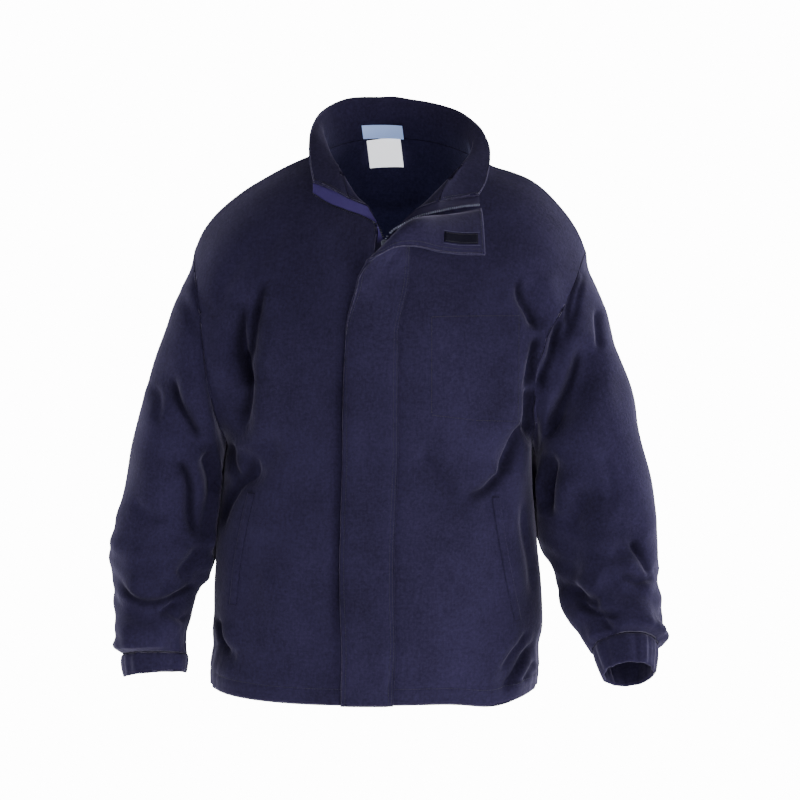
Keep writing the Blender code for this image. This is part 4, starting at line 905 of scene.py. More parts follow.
def near_creases(points, cloth):
    """The creases of one cloth, each with what its shape and shade are worked out from.

    Yields which points lie near it, then for those points its depth, its lean, their distance from
    its line, its depth over its half width, and their signed distance to one side. Both distances
    are in half widths.
    """
    for name, deep, reach, lean, *line in CREASES:
        if name != cloth:
            continue
        line = spaced(through(np.array(line, float).reshape(-1, 2) * MM), 61)
        way = unit(np.gradient(line, axis=0))
        room = 12 * reach * MM
        flat = points[..., (0, 2)]
        near = ((flat > line.min(axis=0) - room) & (flat < line.max(axis=0) + room)).all(axis=-1)
        away = flat[near][..., None, :] - line
        nearest = np.linalg.norm(away, axis=-1).argmin(axis=-1)
        away = np.take_along_axis(away, nearest[..., None, None], axis=-2)[..., 0, :]
        way = way[nearest]
        beside = (way[..., 0] * away[..., 1] - way[..., 1] * away[..., 0]) / (reach * MM)
        beyond = np.abs((way * away).sum(axis=-1)) / (reach * MM)
        beyond = np.where((nearest == 0) | (nearest == len(line) - 1), beyond, 0)
        distance = np.hypot(beside, beyond)
        along = nearest / (len(line) - 1)
        fade = rise_over(np.minimum(along, 1 - along), -0.04, 0.22)
        yield near, min(deep, CREASE_STEEPEST * reach) * MM * fade, lean, distance, deep / reach, beside


def crease_depth(points, cloth):
    """How far the creases of one cloth push its points inwards: sharp lines between soft swells."""
    depth = np.zeros(points.shape[:-1])
    for near, deep, lean, distance, _, beside in near_creases(points, cloth):
        shape = np.exp(-(distance**2)) - 0.3 * np.exp(-(((distance - 2.8) / 2.4) ** 2))
        shape -= lean * 0.5 * np.tanh(beside) * np.exp(-((distance / 5) ** 2))
        depth[near] += deep * shape
    return depth


def facing_share(normals, cloth):
    """How much each point belongs to a cloth's front face, or to its back face, from 0 to 1."""
    side = normals[..., 1] if "back" in cloth else -normals[..., 1]
    return np.clip(side * 2 + 0.4, 0, 1)


def painted_crease_shade_marks(name, grid, normals):
    """How deep inside a crease each point of one cloth lies, from 0 to 1."""
    marks = np.zeros(grid.shape[:2])
    for cloth in FOLDED_CLOTHS[name]:
        seen = facing_share(normals, cloth)
        for near, deep, _, distance, steep, _ in near_creases(grid, cloth):
            share = np.clip(deep / CREASE_PAINTED_SHADE_DEPTH, 0, 1) * min(max(steep - CREASE_SHADE_FROM, 0), 1)
            inside = np.exp(-((distance / CREASE_SHADE_REACH) ** 2)) * share
            marks[near] = np.maximum(marks[near], inside * seen[near])
    return marks


FOLDED_CLOTHS = {
    "front_right": ("front",), "front_left": ("front",), "back": ("back",),
    "sleeve_right": ("right sleeve front", "right sleeve back"),
    "sleeve_left": ("left sleeve front", "left sleeve back"), "collar": (),
}


def folds_at(name, grid, normals):
    """How far the folds push each point of one cloth inwards: front face, then back face."""
    depth = np.zeros(grid.shape[:2])
    for cloth in FOLDED_CLOTHS[name]:
        both = fold_depth(grid, cloth) + crease_depth(grid, cloth)
        depth += both * facing_share(normals, cloth)
    return depth


def ripples(points, wavelengths, seed, stretch):
    """Soft uneven waves from -1 to 1, from a few dozen seeded directions."""
    chance = np.random.default_rng(seed)
    total = np.zeros(points.shape[:-1])
    count = 26
    for _ in range(count):
        way = unit(chance.normal(size=3)) * stretch
        length = chance.uniform(*wavelengths) * MM
        total += np.sin(points @ way * 2 * math.pi / length + chance.uniform(0, 2 * math.pi))
    return total / math.sqrt(count / 2) / 1.6


def rise_over(values, low, high):
    """Goes softly from 0 at low to 1 at high."""
    t = np.clip((values - low) / (high - low), 0, 1)
    return t * t * (3 - 2 * t)


def panel_ripples(name, grid, height):
    """The uneven lie of the cloth: calm by the zip, the neck and the hem, livelier on the sleeves."""
    x, z = grid[..., 0], grid[..., 2]
    if name.startswith("sleeve"):
        lively = 1.0 + 0.25 * np.exp(-((z + 0.57) / 0.07) ** 2)
        waves = (ripples(grid, (60, 110), 11, (1, 1, 0.8))
                 + 0.55 * ripples(grid, (28, 46), 12, (0.8, 0.8, 1.2))
                 * np.exp(-((z + 0.56) / 0.08) ** 2))
        return waves * height * lively
    if name == "collar":
        return ripples(grid, (50, 90), 13, (1, 1, 0.6)) * height * 0.35
    waves = ripples(grid, (80, 150), 14, (1, 1, 0.5)) + 0.35 * ripples(grid, (40, 70), 15, (1, 1, 0.6))
    calm = rise_over(np.abs(x + 0.004), 0.045, 0.11) if "front" in name else 1.0
    calm = calm * (0.15 + 0.85 * rise_over(-z, 0.10, 0.20))
    return waves * height * calm * rise_over(z, HEM_Z + 0.012, HEM_Z + 0.09)


def drooped(grid):
    """Lets the hem of a panel hang a little lower where its gathers end."""
    at, deep, wide = HEM_DROOP
    near = np.exp(-(((grid[..., 0] - at) / wide) ** 2)) * (1 - rise_over(grid[..., 2], HEM_Z, HEM_Z + 0.11))
    return grid - deep * near[..., None] * (0, 0, 1)


def hem_gathers(name, grid):
    """The small pleats that the elastic at each side of the hem draws into the cloth."""
    step = np.linalg.norm(np.diff(grid, axis=1), axis=-1)
    along = np.concatenate([np.zeros((len(grid), 1)), np.cumsum(step, axis=1)], axis=1)
    ends = {"front_right": (along,), "front_left": (along[:, -1:] - along,),
            "back": (along, along[:, -1:] - along)}.get(name, ())
    depth = np.zeros(grid.shape[:2])
    low = 1 - rise_over(grid[..., 2], HEM_PLEAT_TOP, HEM_PLEAT_TOP + 0.03)
    for away in ends:
        wobble = 0.9 * np.sin(grid[..., 2] * 60) + 1.3 * np.sin(away / (11 * MM))
        pleat = np.cos(away * 2 * math.pi / HEM_PLEAT_PITCH + wobble)
        depth += HEM_PLEAT_DEPTH * pleat * np.exp(-(away / HEM_PLEAT_REACH) ** 2) * low
    return depth


def cuff_pleats(turn, seed):
    """How far the pleats round a cuff stand out at given parts of a turn."""
    chance = np.random.default_rng(seed)
    angle = turn * 2 * math.pi
    total = np.zeros(len(turn))
    for count, depth in zip(CUFF_PLEATS, CUFF_PLEAT_DEPTH):
        bend = chance.uniform(0.3, 0.7) * np.sin(angle * chance.integers(2, 5) + chance.uniform(0, 6))
        uneven = 0.6 + 0.4 * np.sin(angle * chance.integers(2, 6) + chance.uniform(0, 6))
        total += depth * uneven * np.cos(count * angle + bend * count / 8 + chance.uniform(0, 6))
    return total * MM


def cuff_rows(table, turn, seed, lip, count=15):
    """A cuff drawn into uneven gathers, from its sewn edge to its open end; lip lifts its back."""
    coarse = np.stack([loop_of(row, 4 * UPPER_ROWS) for row in table])
    round_line = line_at(np.swapaxes(coarse, 0, 1), turn * 4 * UPPER_ROWS, closed=True)
    rows = line_at(np.swapaxes(round_line, 0, 1), np.linspace(0, len(table) - 1, count))
    middle = rows.mean(axis=1, keepdims=True)
    full = np.sin(np.linspace(0.05, 0.95, count) * math.pi)[:, None]
    curl = CUFF_CURL * np.exp(-(np.arange(count)[:, None] ** 2) / 2.0)
    swell = 1.3 * MM * full - 1.0 * MM - curl + cuff_pleats(turn, seed)[None] * (0.35 + 0.65 * full)
    away = rows - middle
    behind = np.clip(away[..., 1] / np.abs(away[..., 1]).max(), 0, 1)
    opened = np.linspace(0, 1, count)[:, None] ** 2 * behind * lip
    return rows + unit(away) * swell[..., None] + opened[..., None] * (0, 0, 1)


# each cuff's table, the seed of its gathers and how far the back of its opening is lifted
SLEEVE_ENDS = {"sleeve_right": (RIGHT_CUFF, 6, 8 * MM), "sleeve_left": (LEFT_CUFF, 5, 0.0)}


def gathered_end(name, grid, turn):
    """A sleeve whose end swells over its cuff and is drawn in to the cuff's sewn edge."""
    table, seed, lip = SLEEVE_ENDS[name]
    turned = grid if name == "sleeve_right" else grid[::-1]
    away = np.cumsum(np.linalg.norm(np.diff(turned, axis=0), axis=-1).mean(axis=1))
    away = np.concatenate([[0], away])
    middle = turned.mean(axis=1, keepdims=True)
    ways = unit(turned - middle)
    outer = np.clip(ways[..., 0] * (-1 if name == "sleeve_right" else 1), 0, 1)
    swollen = np.exp(-(((away - CUFF_BULGE_AT) / CUFF_BULGE_LONG) ** 2))[:, None]
    bulge = swollen * (CUFF_BULGE[0] + CUFF_BULGE[1] * outer)
    pleats = np.exp(-((away / CUFF_PLEAT_RUN) ** 1.5))[:, None] * cuff_pleats(turn, seed)[None]
    turned = turned + ways * (bulge + pleats)[..., None]
    cuff = cuff_rows(table, turn, seed, lip)
    edge = cuff[0] + unit(cuff[1] - cuff[0]) * CUFF_LAP
    turned = edge_moved(turned, "bottom", edge, CUFF_TUCK)
    return turned if name == "sleeve_right" else turned[::-1]


@functools.lru_cache(maxsize=None)
def sewn_cloth(steps, height):
    """The folded cloth surfaces in fine grids: name to grid and whether it is round."""
    grids, under, over = fine_grids(steps)
    turn = turn_places(panel_rows(steps)) / (2 * UPPER_ROWS)
    grids = rejoined(grids, under, over)
    rounds = {name: name.startswith("sleeve") for name in grids}
    listed = [(grid, rounds[name]) for name, grid in grids.items()]
    normals = dict(zip(grids, shared_normals(listed)))
    moved = {}
    for name, grid in grids.items():
        depth = folds_at(name, grid, normals[name]) - panel_ripples(name, grid, height)
        if name in ("front_right", "front_left", "back"):
            depth = depth - hem_gathers(name, grid)
        grid = drooped(grid - normals[name] * depth[..., None])
        if rounds[name]:
            grid = gathered_end(name, clear_of_body(grid, SLEEVE_AIR), turn)
        moved[name] = grid
    moved = rejoined(moved, under, over)
    return {name: (grid, rounds[name]) for name, grid in moved.items()}


# ---------------------------------------------------------------- meshes


def mesh_object(name, points, faces, finish, uvs=None, marks=None):
    """A smooth mesh object with its finish, and UVs of each face's corners and crease marks if given."""
    mesh = bpy.data.meshes.new(name)
    mesh.from_pydata(np.asarray(points).tolist(), [], faces)
    if marks is not None:
        # The Crease attribute carries how much painted shade each point takes.
        layer = mesh.attributes.new("Crease", "FLOAT", "POINT")
        layer.data.foreach_set("value", np.asarray(marks, np.float32))
    if uvs is not None:
        layer = mesh.uv_layers.new(name="UVMap")
        layer.data.foreach_set("uv", np.asarray(uvs, np.float32).ravel())
    mesh.update()
    mesh.materials.append(finish)
    mesh.shade_smooth()
    made = bpy.data.objects.new(name, mesh)
    bpy.context.scene.collection.objects.link(made)
    return made


def inward_steps(grid, sides, round_it):
    """For each named side of a grid, the unit steps from its edge into the cloth."""
    pairs = {"bottom": (grid[0], grid[1]), "top": (grid[-1], grid[-2]),
             "first": (grid[:, 0], grid[:, 1]), "last": (grid[:, -1], grid[:, -2])}
    steps = {}
    for side in sides:
        edge, inner = pairs[side]
        if round_it:
            along = unit(np.roll(edge, -1, axis=0) - np.roll(edge, 1, axis=0))
        else:
            along = unit(np.gradient(edge, axis=0))
        back = inner - edge
        steps[side] = unit(back - along * (back * along).sum(axis=-1, keepdims=True))
    return steps


def lengths_along(grid):
    """Mean distance of each row and each column from the first one."""
    up = np.linalg.norm(np.diff(grid, axis=0), axis=-1).mean(axis=1)
    across = np.linalg.norm(np.diff(grid, axis=1), axis=-1).mean(axis=0)
    return np.concatenate([[0], np.cumsum(up)]), np.concatenate([[0], np.cumsum(across)])


def shell(name, grid, normals, thick, finish, round_it=False, rims=None, out=0.0, marks=0.0):
    """A closed wall of cloth on a grid of outer points, with rounded rims.

    rims gives each side's roundness, from 0 for a square edge to 1 for a full half round. marks says
    how deep in a crease each point lies; a side without an entry in rims is a seam, marked fully.
    """
    rows, columns = grid.shape[:2]
    rims = rims or {}
    thick = np.broadcast_to(np.asarray(thick, float).reshape(np.shape(thick) + (1,) * (2 - np.ndim(thick))),
                            (rows, columns))
    sides = ("bottom", "top") if round_it else ("bottom", "top", "first", "last")
    steps = inward_steps(grid, sides, round_it)
    places_of = {"bottom": (0, slice(None)), "top": (-1, slice(None)),
                 "first": (slice(None), 0), "last": (slice(None), -1)}
    shift = np.zeros_like(grid)
    outward = np.zeros_like(grid)
    radius = np.zeros((rows, columns))
    marks = np.zeros((rows, columns)) + marks
    for side in sides:
        at = places_of[side]
        # A seam's edge takes painted shade through its marks.
        if side not in rims:
            marks[at] = SEAM_PAINTED_SHADE
        reach = rims.get(side, SEAM_ROUND) * thick[at] / 2
        shift[at] += steps[side] * reach[..., None]
        outward[at] -= steps[side] * reach[..., None]
        radius[at] = np.maximum(radius[at], reach)
    outside = grid + shift + normals * out
    inside = outside - normals * thick[..., None]
    number = np.arange(rows * columns).reshape(rows, columns)
    up, across = lengths_along(grid)
    if round_it:
        closing = np.linalg.norm(grid[:, -1] - grid[:, 0], axis=-1).mean()
        across = np.append(across, across[-1] + closing)
        wrapped = np.concatenate([number, number[:, :1]], axis=1)
    else:
        wrapped = number
    a, b, c, d = wrapped[:-1, :-1], wrapped[:-1, 1:], wrapped[1:, 1:], wrapped[1:, :-1]
    r, k = np.meshgrid(np.arange(rows - 1), np.arange(wrapped.shape[1] - 1), indexing="ij")
    corner_uv = [np.stack([across[k + i], up[r + j]], axis=-1) for i, j in ((0, 0), (1, 0), (1, 1), (0, 1))]
    quads = np.stack([a, b, c, d], axis=-1).reshape(-1, 4)
    quad_uvs = np.stack(corner_uv, axis=2).reshape(-1, 4, 2)
    inner_quads = quads[:, ::-1] + rows * columns
    faces = [quads, inner_quads]
    uvs = [quad_uvs, quad_uvs[:, ::-1]]
    points = [outside.reshape(-1, 3), inside.reshape(-1, 3)]
    marked = [marks.ravel(), np.zeros(rows * columns)]
    total = 2 * rows * columns
    if round_it:
        loops = [wrapped[0, :-1], wrapped[-1, :-1][::-1]]
    else:
        loops = [np.concatenate([number[0], number[1:, -1], number[-1, :-1][::-1], number[1:-1, 0][::-1]])]
    flat_out, flat_in = outside.reshape(-1, 3), inside.reshape(-1, 3)
    flat_ward = outward.reshape(-1, 3)
    grid_uv = np.stack(np.meshgrid(across[:columns], up, indexing="xy"), axis=-1).reshape(-1, 2)
    for loop in loops:
        count = len(loop)
        middle = (flat_out[loop] + flat_in[loop]) / 2
        half = flat_out[loop] - middle
        rings = [loop]
        for step in range(1, RIM_STEPS):
            angle = math.pi * step / RIM_STEPS
            points.append(middle + half * math.cos(angle) + flat_ward[loop] * math.sin(angle))
            marked.append(marked[0][loop])
            rings.append(np.arange(total, total + count))
            total += count
        rings.append(loop + rows * columns)
        rim_uv = grid_uv[loop]
        for near, far in zip(rings, rings[1:]):
            after, beyond = np.roll(near, -1), np.roll(far, -1)
            faces.append(np.stack([after, near, far, beyond], axis=-1))
            ahead = np.roll(rim_uv, -1, axis=0)
            uvs.append(np.stack([ahead, rim_uv, rim_uv, ahead], axis=1))
    faces = np.concatenate(faces)
    return mesh_object(name, np.concatenate(points), faces.tolist(), finish, np.concatenate(uvs),
                       np.concatenate(marked))


def smooth_through(values, turns=2):
    """Evens a short series a little and keeps its ends."""
    values = np.array(values, float)
    for _ in range(turns):
        values[1:-1] = (values[:-2] + 2 * values[1:-1] + values[2:]) / 4
    return values


def on_body(piece, body, slot, *nodes):
    """Ties a finished piece to its body, its material slot and the solids that it stands for."""
    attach(piece, body)
    if nodes:
        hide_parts(*nodes)
    return piece


def declare(piece, cut):
    """Says what flat cut a piece of cloth was sewn from."""
    width, length, area, held = cut


# ---------------------------------------------------------------- stitches


STITCH_SHAPE = ((-0.5, 0.0), (-0.42, 0.7), (-0.15, 1.0), (0.15, 1.0), (0.42, 0.7), (0.5, 0.0))
STITCH_SIDES = 6


def stitches(name, seams, length, pitch, width, finish, sunk=0.25):
    """A row of raised stitches along each seam; a seam is points and the cloth's directions there."""
    starts, ways, ups = [], [], []
    for points, normals in seams:
        step = np.concatenate([[0], np.cumsum(np.linalg.norm(np.diff(points, axis=0), axis=1))])
        at = np.arange(pitch / 2, step[-1] - pitch / 4, pitch)
        place = np.stack([np.interp(at, step, column) for column in points.T], axis=1)
        ahead = np.stack([np.interp(at + 0.5 * MM, step, column) for column in points.T], axis=1)
        up = unit(np.stack([np.interp(at, step, column) for column in normals.T], axis=1))
        starts.append(place)
        ways.append(unit(ahead - place + 1e-9))
        ups.append(up)
    place, way, up = (np.concatenate(part) for part in (starts, ways, ups))
    side = unit(np.cross(way, up))
    angle = np.linspace(0, 2 * math.pi, STITCH_SIDES, endpoint=False)
    rings = []
    for along, wide in STITCH_SHAPE:
        centre = place + way * along * length + up * width * (wide * 0.5 - sunk)
        reach = max(wide, 0.12) * width / 2
        ring = (centre[:, None] + side[:, None] * (np.cos(angle) * reach)[None, :, None]
                + up[:, None] * (np.sin(angle) * reach)[None, :, None])
        rings.append(ring)
    points = np.stack(rings, axis=1)
    count, layers = points.shape[:2]
    number = np.arange(count * layers * STITCH_SIDES).reshape(count, layers, STITCH_SIDES)
    after = np.roll(number, -1, axis=2)
    quads = np.stack([number[:, :-1], after[:, :-1], after[:, 1:], number[:, 1:]], axis=-1)
    faces = quads.reshape(-1, 4).tolist()
    faces += number[:, 0, ::-1].tolist() + number[:, -1].tolist()
    return mesh_object(name, points.reshape(-1, 3), faces, finish)




# ---------------------------------------------------------------- finishes


def node(tree, kind, inputs=None, **settings):
    """Adds a shader node; an input is a value or the socket that feeds it."""
    made = tree.nodes.new(kind)
    for key, value in settings.items():
        setattr(made, key, value)
    for key, value in (inputs or {}).items():
        if isinstance(value, bpy.types.NodeSocket):
            tree.links.new(value, made.inputs[key])
        else:
            made.inputs[key].default_value = value
    return made


def new_group(name, inputs, outputs):
    """An empty shader group with its named sockets, its input node and its output node."""
    group = bpy.data.node_groups.new(name, "ShaderNodeTree")
    for label, default in inputs:
        socket = group.interface.new_socket(name=label, in_out="INPUT", socket_type="NodeSocketFloat")
        socket.default_value = default
    for label in outputs:
        group.interface.new_socket(name=label, in_out="OUTPUT", socket_type="NodeSocketFloat")
    return group, group.nodes.new("NodeGroupInput"), group.nodes.new("NodeGroupOutput")


def shared_group(name):
    """Builds a shader group on the first call and gives the same group on every later one."""
    def keeping(build):
        def found_or_built():
            return bpy.data.node_groups.get(name) or build(name)
        found_or_built.__doc__ = build.__doc__
        return found_or_built
    return keeping


@shared_group("Fleece Pile")
def fleece_pile(name):
    """Brushed knit pile: fine fibres, small clumps, faint knit lines and broad uneven nap."""
    group, given, result = new_group(name, (
        ("Fibre Scale", 1000.0), ("Clump Scale", 260.0), ("Knit Scale", 420.0), ("Nap Scale", 13.0),
    ), ("Shade", "Height"))
    place = node(group, "ShaderNodeTexCoord")
    fibre = node(group, "ShaderNodeTexNoise", {
        "Vector": place.outputs["Object"], "Scale": given.outputs["Fibre Scale"],
        "Detail": 2.0, "Roughness": 0.6})
    clump = node(group, "ShaderNodeTexNoise", {
        "Vector": place.outputs["Object"], "Scale": given.outputs["Clump Scale"],
        "Detail": 2.0, "Roughness": 0.55, "Distortion": 0.4})
    nap = node(group, "ShaderNodeTexNoise", {
        "Vector": place.outputs["Object"], "Scale": given.outputs["Nap Scale"], "Detail": 3.0})
    drawn = node(group, "ShaderNodeMapping", {"Vector": place.outputs["UV"], "Scale": (1.0, 0.1, 1.0)})
    wale = node(group, "ShaderNodeTexNoise", {
        "Vector": drawn.outputs[0], "Scale": given.outputs["Knit Scale"], "Detail": 1.0})
    crossed = node(group, "ShaderNodeMapping", {"Vector": place.outputs["UV"], "Scale": (0.07, 1.0, 1.0)})
    course = node(group, "ShaderNodeTexNoise", {
        "Vector": crossed.outputs[0], "Scale": given.outputs["Knit Scale"], "Detail": 1.0})

    def weighed(parts):
        total = 0.0
        for socket, weight in parts:
            total = node(group, "ShaderNodeMath", {0: socket, 1: weight, 2: total},
                         operation="MULTIPLY_ADD").outputs[0]
        return total

    height = weighed(((fibre.outputs[0], 0.4), (clump.outputs[0], 0.8), (wale.outputs[0], 0.12),
                      (course.outputs[0], 0.08)))
    shade = weighed(((fibre.outputs[0], 0.3), (clump.outputs[0], 0.5), (wale.outputs[0], 0.14),
                     (course.outputs[0], 0.1), (nap.outputs[0], 0.5)))
    spread = node(group, "ShaderNodeMapRange", {
        "Value": shade, "From Min": 0.52, "From Max": 1.02, "To Min": 0.0, "To Max": 1.0})
    group.links.new(height, result.inputs["Height"])
    group.links.new(spread.outputs[0], result.inputs["Shade"])
    return group


@shared_group("Woven Tape")
def woven_tape(name):
    """A tight rib weave that follows the piece's own length and width."""
    group, given, result = new_group(name, (("Thread Pitch", 0.0008), ("Unevenness", 0.25)),
                                     ("Shade", "Height"))
    place = node(group, "ShaderNodeTexCoord")
    split = node(group, "ShaderNodeSeparateXYZ", {0: place.outputs["UV"]})
    waves = []
    for socket, share in ((split.outputs["X"], 1.0), (split.outputs["Y"], 0.7)):
        turns = node(group, "ShaderNodeMath", {0: socket, 1: given.outputs["Thread Pitch"]},
                     operation="DIVIDE")
        angle = node(group, "ShaderNodeMath", {0: turns.outputs[0], 1: 2 * math.pi * share},
                     operation="MULTIPLY")
        waves.append(node(group, "ShaderNodeMath", {0: angle.outputs[0]}, operation="SINE"))
    weave = node(group, "ShaderNodeMath", {0: waves[0].outputs[0], 1: waves[1].outputs[0]},
                 operation="MULTIPLY")
    uneven = node(group, "ShaderNodeTexNoise", {"Vector": place.outputs["Object"], "Scale": 260.0})
    mixed = node(group, "ShaderNodeMath", {
        0: uneven.outputs[0], 1: given.outputs["Unevenness"], 2: 0.5}, operation="MULTIPLY_ADD")
    shade = node(group, "ShaderNodeMath", {0: weave.outputs[0], 1: 0.22, 2: mixed.outputs[0]},
                 operation="MULTIPLY_ADD")
    group.links.new(weave.outputs[0], result.inputs["Height"])
    group.links.new(shade.outputs[0], result.inputs["Shade"])
    return group


@shared_group("Rubbed Metal")
def rubbed_metal(name):
    """Where metal is rubbed brighter: fine scratches over soft patches."""
    group, given, result = new_group(name, (("Patch Scale", 500.0), ("Scratch Scale", 2600.0)),
                                     ("Shade", "Height"))
    place = node(group, "ShaderNodeTexCoord")
    patch_noise = node(group, "ShaderNodeTexNoise", {
        "Vector": place.outputs["Object"], "Scale": given.outputs["Patch Scale"], "Detail": 3.0})
    drawn = node(group, "ShaderNodeMapping", {
        "Vector": place.outputs["Object"], "Scale": (1.0, 1.0, 0.08)})
    scratch = node(group, "ShaderNodeTexNoise", {
        "Vector": drawn.outputs[0], "Scale": given.outputs["Scratch Scale"], "Detail": 1.0})
    both = node(group, "ShaderNodeMath", {0: scratch.outputs[0], 1: 0.5, 2: patch_noise.outputs[0]},
                operation="MULTIPLY_ADD")
    shade = node(group, "ShaderNodeMapRange", {"Value": both.outputs[0], "From Min": 0.55, "From Max": 0.95})
    group.links.new(shade.outputs[0], result.inputs["Shade"])
    group.links.new(scratch.outputs[0], result.inputs["Height"])
    return group


def linear(colour):
    """Scene-linear values of an sRGB colour from 0 to 255."""
    return tuple(c / 255 / 12.92 if c <= 10 else ((c / 255 + 0.055) / 1.055) ** 2.4 for c in colour)


def finish(name, group, scales, dark, light, depth, bump, roughness, **sockets):
    """A finish whose colour goes from dark to light over a group's shade, with its fine relief."""
    if name in bpy.data.materials:
        return bpy.data.materials[name]
    made = bpy.data.materials.new(name)
    made.use_nodes = True
    tree = made.node_tree
    shader = tree.nodes["Principled BSDF"]
    pattern = tree.nodes.new("ShaderNodeGroup")
    pattern.node_tree = group
    for key, value in scales.items():
        pattern.inputs[key].default_value = value
    colour = node(tree, "ShaderNodeMix", data_type="RGBA", clamp_factor=True)
    tree.links.new(pattern.outputs["Shade"], colour.inputs[0])
    colour.inputs[6].default_value = (*dark, 1)
    colour.inputs[7].default_value = (*light, 1)
    tree.links.new(colour.outputs[2], shader.inputs["Base Color"])
    relief = node(tree, "ShaderNodeBump", {
        "Strength": bump, "Distance": depth, "Height": pattern.outputs["Height"]})
    tree.links.new(relief.outputs[0], shader.inputs["Normal"])
    shader.inputs["Roughness"].default_value = roughness
    for key, value in sockets.items():
        shader.inputs[key.replace("_", " ")].default_value = value
    return made


def shaded(colour, factor):
    """A colour made darker or lighter, with each channel kept to 1."""
    return tuple(min(1.0, c * factor) for c in colour)


@shared_group("Crease Dusk")
def painted_crease_shade(name):
    """How open to light each place is: 1 on open cloth, less inside marked creases and seams."""
    group, given, result = new_group(name, (("Darkness", 0.55),), ("Open",))
    # The crease marks on the mesh, times Darkness, are the painted shade.
    mark = node(group, "ShaderNodeAttribute", attribute_name="Crease")
    dusk = node(group, "ShaderNodeMath", {0: mark.outputs["Fac"], 1: given.outputs["Darkness"]},
                operation="MULTIPLY", use_clamp=True)
    left = node(group, "ShaderNodeMath", {0: 1.0, 1: dusk.outputs[0]}, operation="SUBTRACT")
    group.links.new(left.outputs[0], result.inputs["Open"])
    return group


def fleece_finish(context):
    """Navy fleece whose colour and nap both fade inside creases and seams."""
    tone = context.scene.jacket_colours
    base = tuple(tone.fleece)
    known = "Navy fleece" in bpy.data.materials
    made = finish("Navy fleece", fleece_pile(), {}, shaded(base, 0.6), shaded(base, 1.5),
                  0.8 * MM, 0.6, 1.0, Sheen_Weight=tone.nap, Sheen_Roughness=0.4,
                  Sheen_Tint=(0.62, 0.58, 0.85, 1), Specular_IOR_Level=0.08)
    if known:
        return made
    tree = made.node_tree
    shader = tree.nodes["Principled BSDF"]
    # Painted shade: the mesh's crease marks darken the base colour and lower the sheen in creases and seams.
    dusk = node(tree, "ShaderNodeGroup", node_tree=painted_crease_shade())
    cloth = shader.inputs["Base Color"].links[0].from_socket
    deeper = node(tree, "ShaderNodeVectorMath", {0: cloth}, operation="SCALE")
    tree.links.new(dusk.outputs["Open"], deeper.inputs["Scale"])
    tree.links.new(deeper.outputs[0], shader.inputs["Base Color"])
    nap = node(tree, "ShaderNodeMath", {0: dusk.outputs["Open"], 1: tone.nap}, operation="MULTIPLY")
    tree.links.new(nap.outputs[0], shader.inputs["Sheen Weight"])
    return made


@shared_group("Dyed Part")
def painted_shade_line(name):
    """A mask of how much of a tape is dyed: none below a height, all of it above."""
    group, given, result = new_group(name, (("From Height", 0.0), ("Softness", 0.01)), ("Mask",))
    place = node(group, "ShaderNodeTexCoord")
    split = node(group, "ShaderNodeSeparateXYZ", {0: place.outputs["Object"]})
    over = node(group, "ShaderNodeMath", {0: split.outputs["Z"], 1: given.outputs["From Height"]},
                operation="SUBTRACT")
    mask = node(group, "ShaderNodeMath", {0: over.outputs[0], 1: given.outputs["Softness"]},
                operation="DIVIDE", use_clamp=True)
    group.links.new(mask.outputs[0], result.inputs["Mask"])
    return group


def tape_finish(context, name, colour, below=None):
    """A woven tape; with a second colour, only its upper part is dyed in the first one."""
    base = tuple(colour)
    if name in bpy.data.materials:
        return bpy.data.materials[name]
    made = finish(name, woven_tape(), {}, shaded(base, 0.75), shaded(base, 1.3), 0.25 * MM, 0.5, 0.75,
                  Specular_IOR_Level=0.15)
    if below is not None:
        tree = made.node_tree
        shader = tree.nodes["Principled BSDF"]
        painted_shade_mask_node = tree.nodes.new("ShaderNodeGroup")
        painted_shade_mask_node.node_tree = painted_shade_line()
        painted_shade_mask_node.inputs["From Height"].default_value = PAINTED_SHADE_BELOW
        both = node(tree, "ShaderNodeMix", data_type="RGBA")
        tree.links.new(painted_shade_mask_node.outputs["Mask"], both.inputs[0])
        both.inputs[6].default_value = (*below, 1)
        tree.links.new(shader.inputs["Base Color"].links[0].from_socket, both.inputs[7])
        tree.links.new(both.outputs[2], shader.inputs["Base Color"])
    return made


def thread_finish(context, name, colour, factor=1.0):
    """Twisted sewing thread of one colour."""
    base = shaded(tuple(colour), factor)
    return finish(name, woven_tape(), {"Thread Pitch": 0.0006}, shaded(base, 0.8), shaded(base, 1.25),
                  0.1 * MM, 0.3, 0.7, Sheen_Weight=0.1, Specular_IOR_Level=0.3)


def metal_finish(context, name="Dark zip metal", factor=1.0):
    """Zip metal, rubbed brighter in places."""
    base = shaded(tuple(context.scene.jacket_colours.metal), factor)
    return finish(name, rubbed_metal(), {}, base, shaded(base, 3.2), 0.02 * MM, 0.3, 0.36, Metallic=0.9)


def hook_finish(context):
    """The dull hooks of a touch fastener."""
    base = tuple(context.scene.jacket_colours.hooks)
    return finish("Hook tape", fleece_pile(), {"Clump Scale": 700.0, "Fibre Scale": 2200.0},
                  shaded(base, 0.5), shaded(base, 1.8), 0.9 * MM, 0.9, 0.9, Specular_IOR_Level=0.06)


def label_finish(context, name, colour, glow):
    """A pale woven label, with a little light of its own."""
    base = tuple(colour)
    # The emission is painted light: a label is no lamp.
    return finish(name, woven_tape(), {"Thread Pitch": 0.0005, "Unevenness": 0.2},
                  shaded(base, 0.9), shaded(base, 1.06), 0.08 * MM, 0.35, 0.55,
                  Sheen_Weight=0.1, Specular_IOR_Level=0.4, Emission_Color=(*base, 1),
                  Emission_Strength=glow)


# ---------------------------------------------------------------- pieces


def cloth_of(context):
    """The folded cloth surfaces and their directions, at the chosen fineness."""
    settings = context.scene.jacket_cloth
    cloth = sewn_cloth(settings.fineness, settings.ripple)
    return cloth, directions(settings.fineness, settings.ripple)


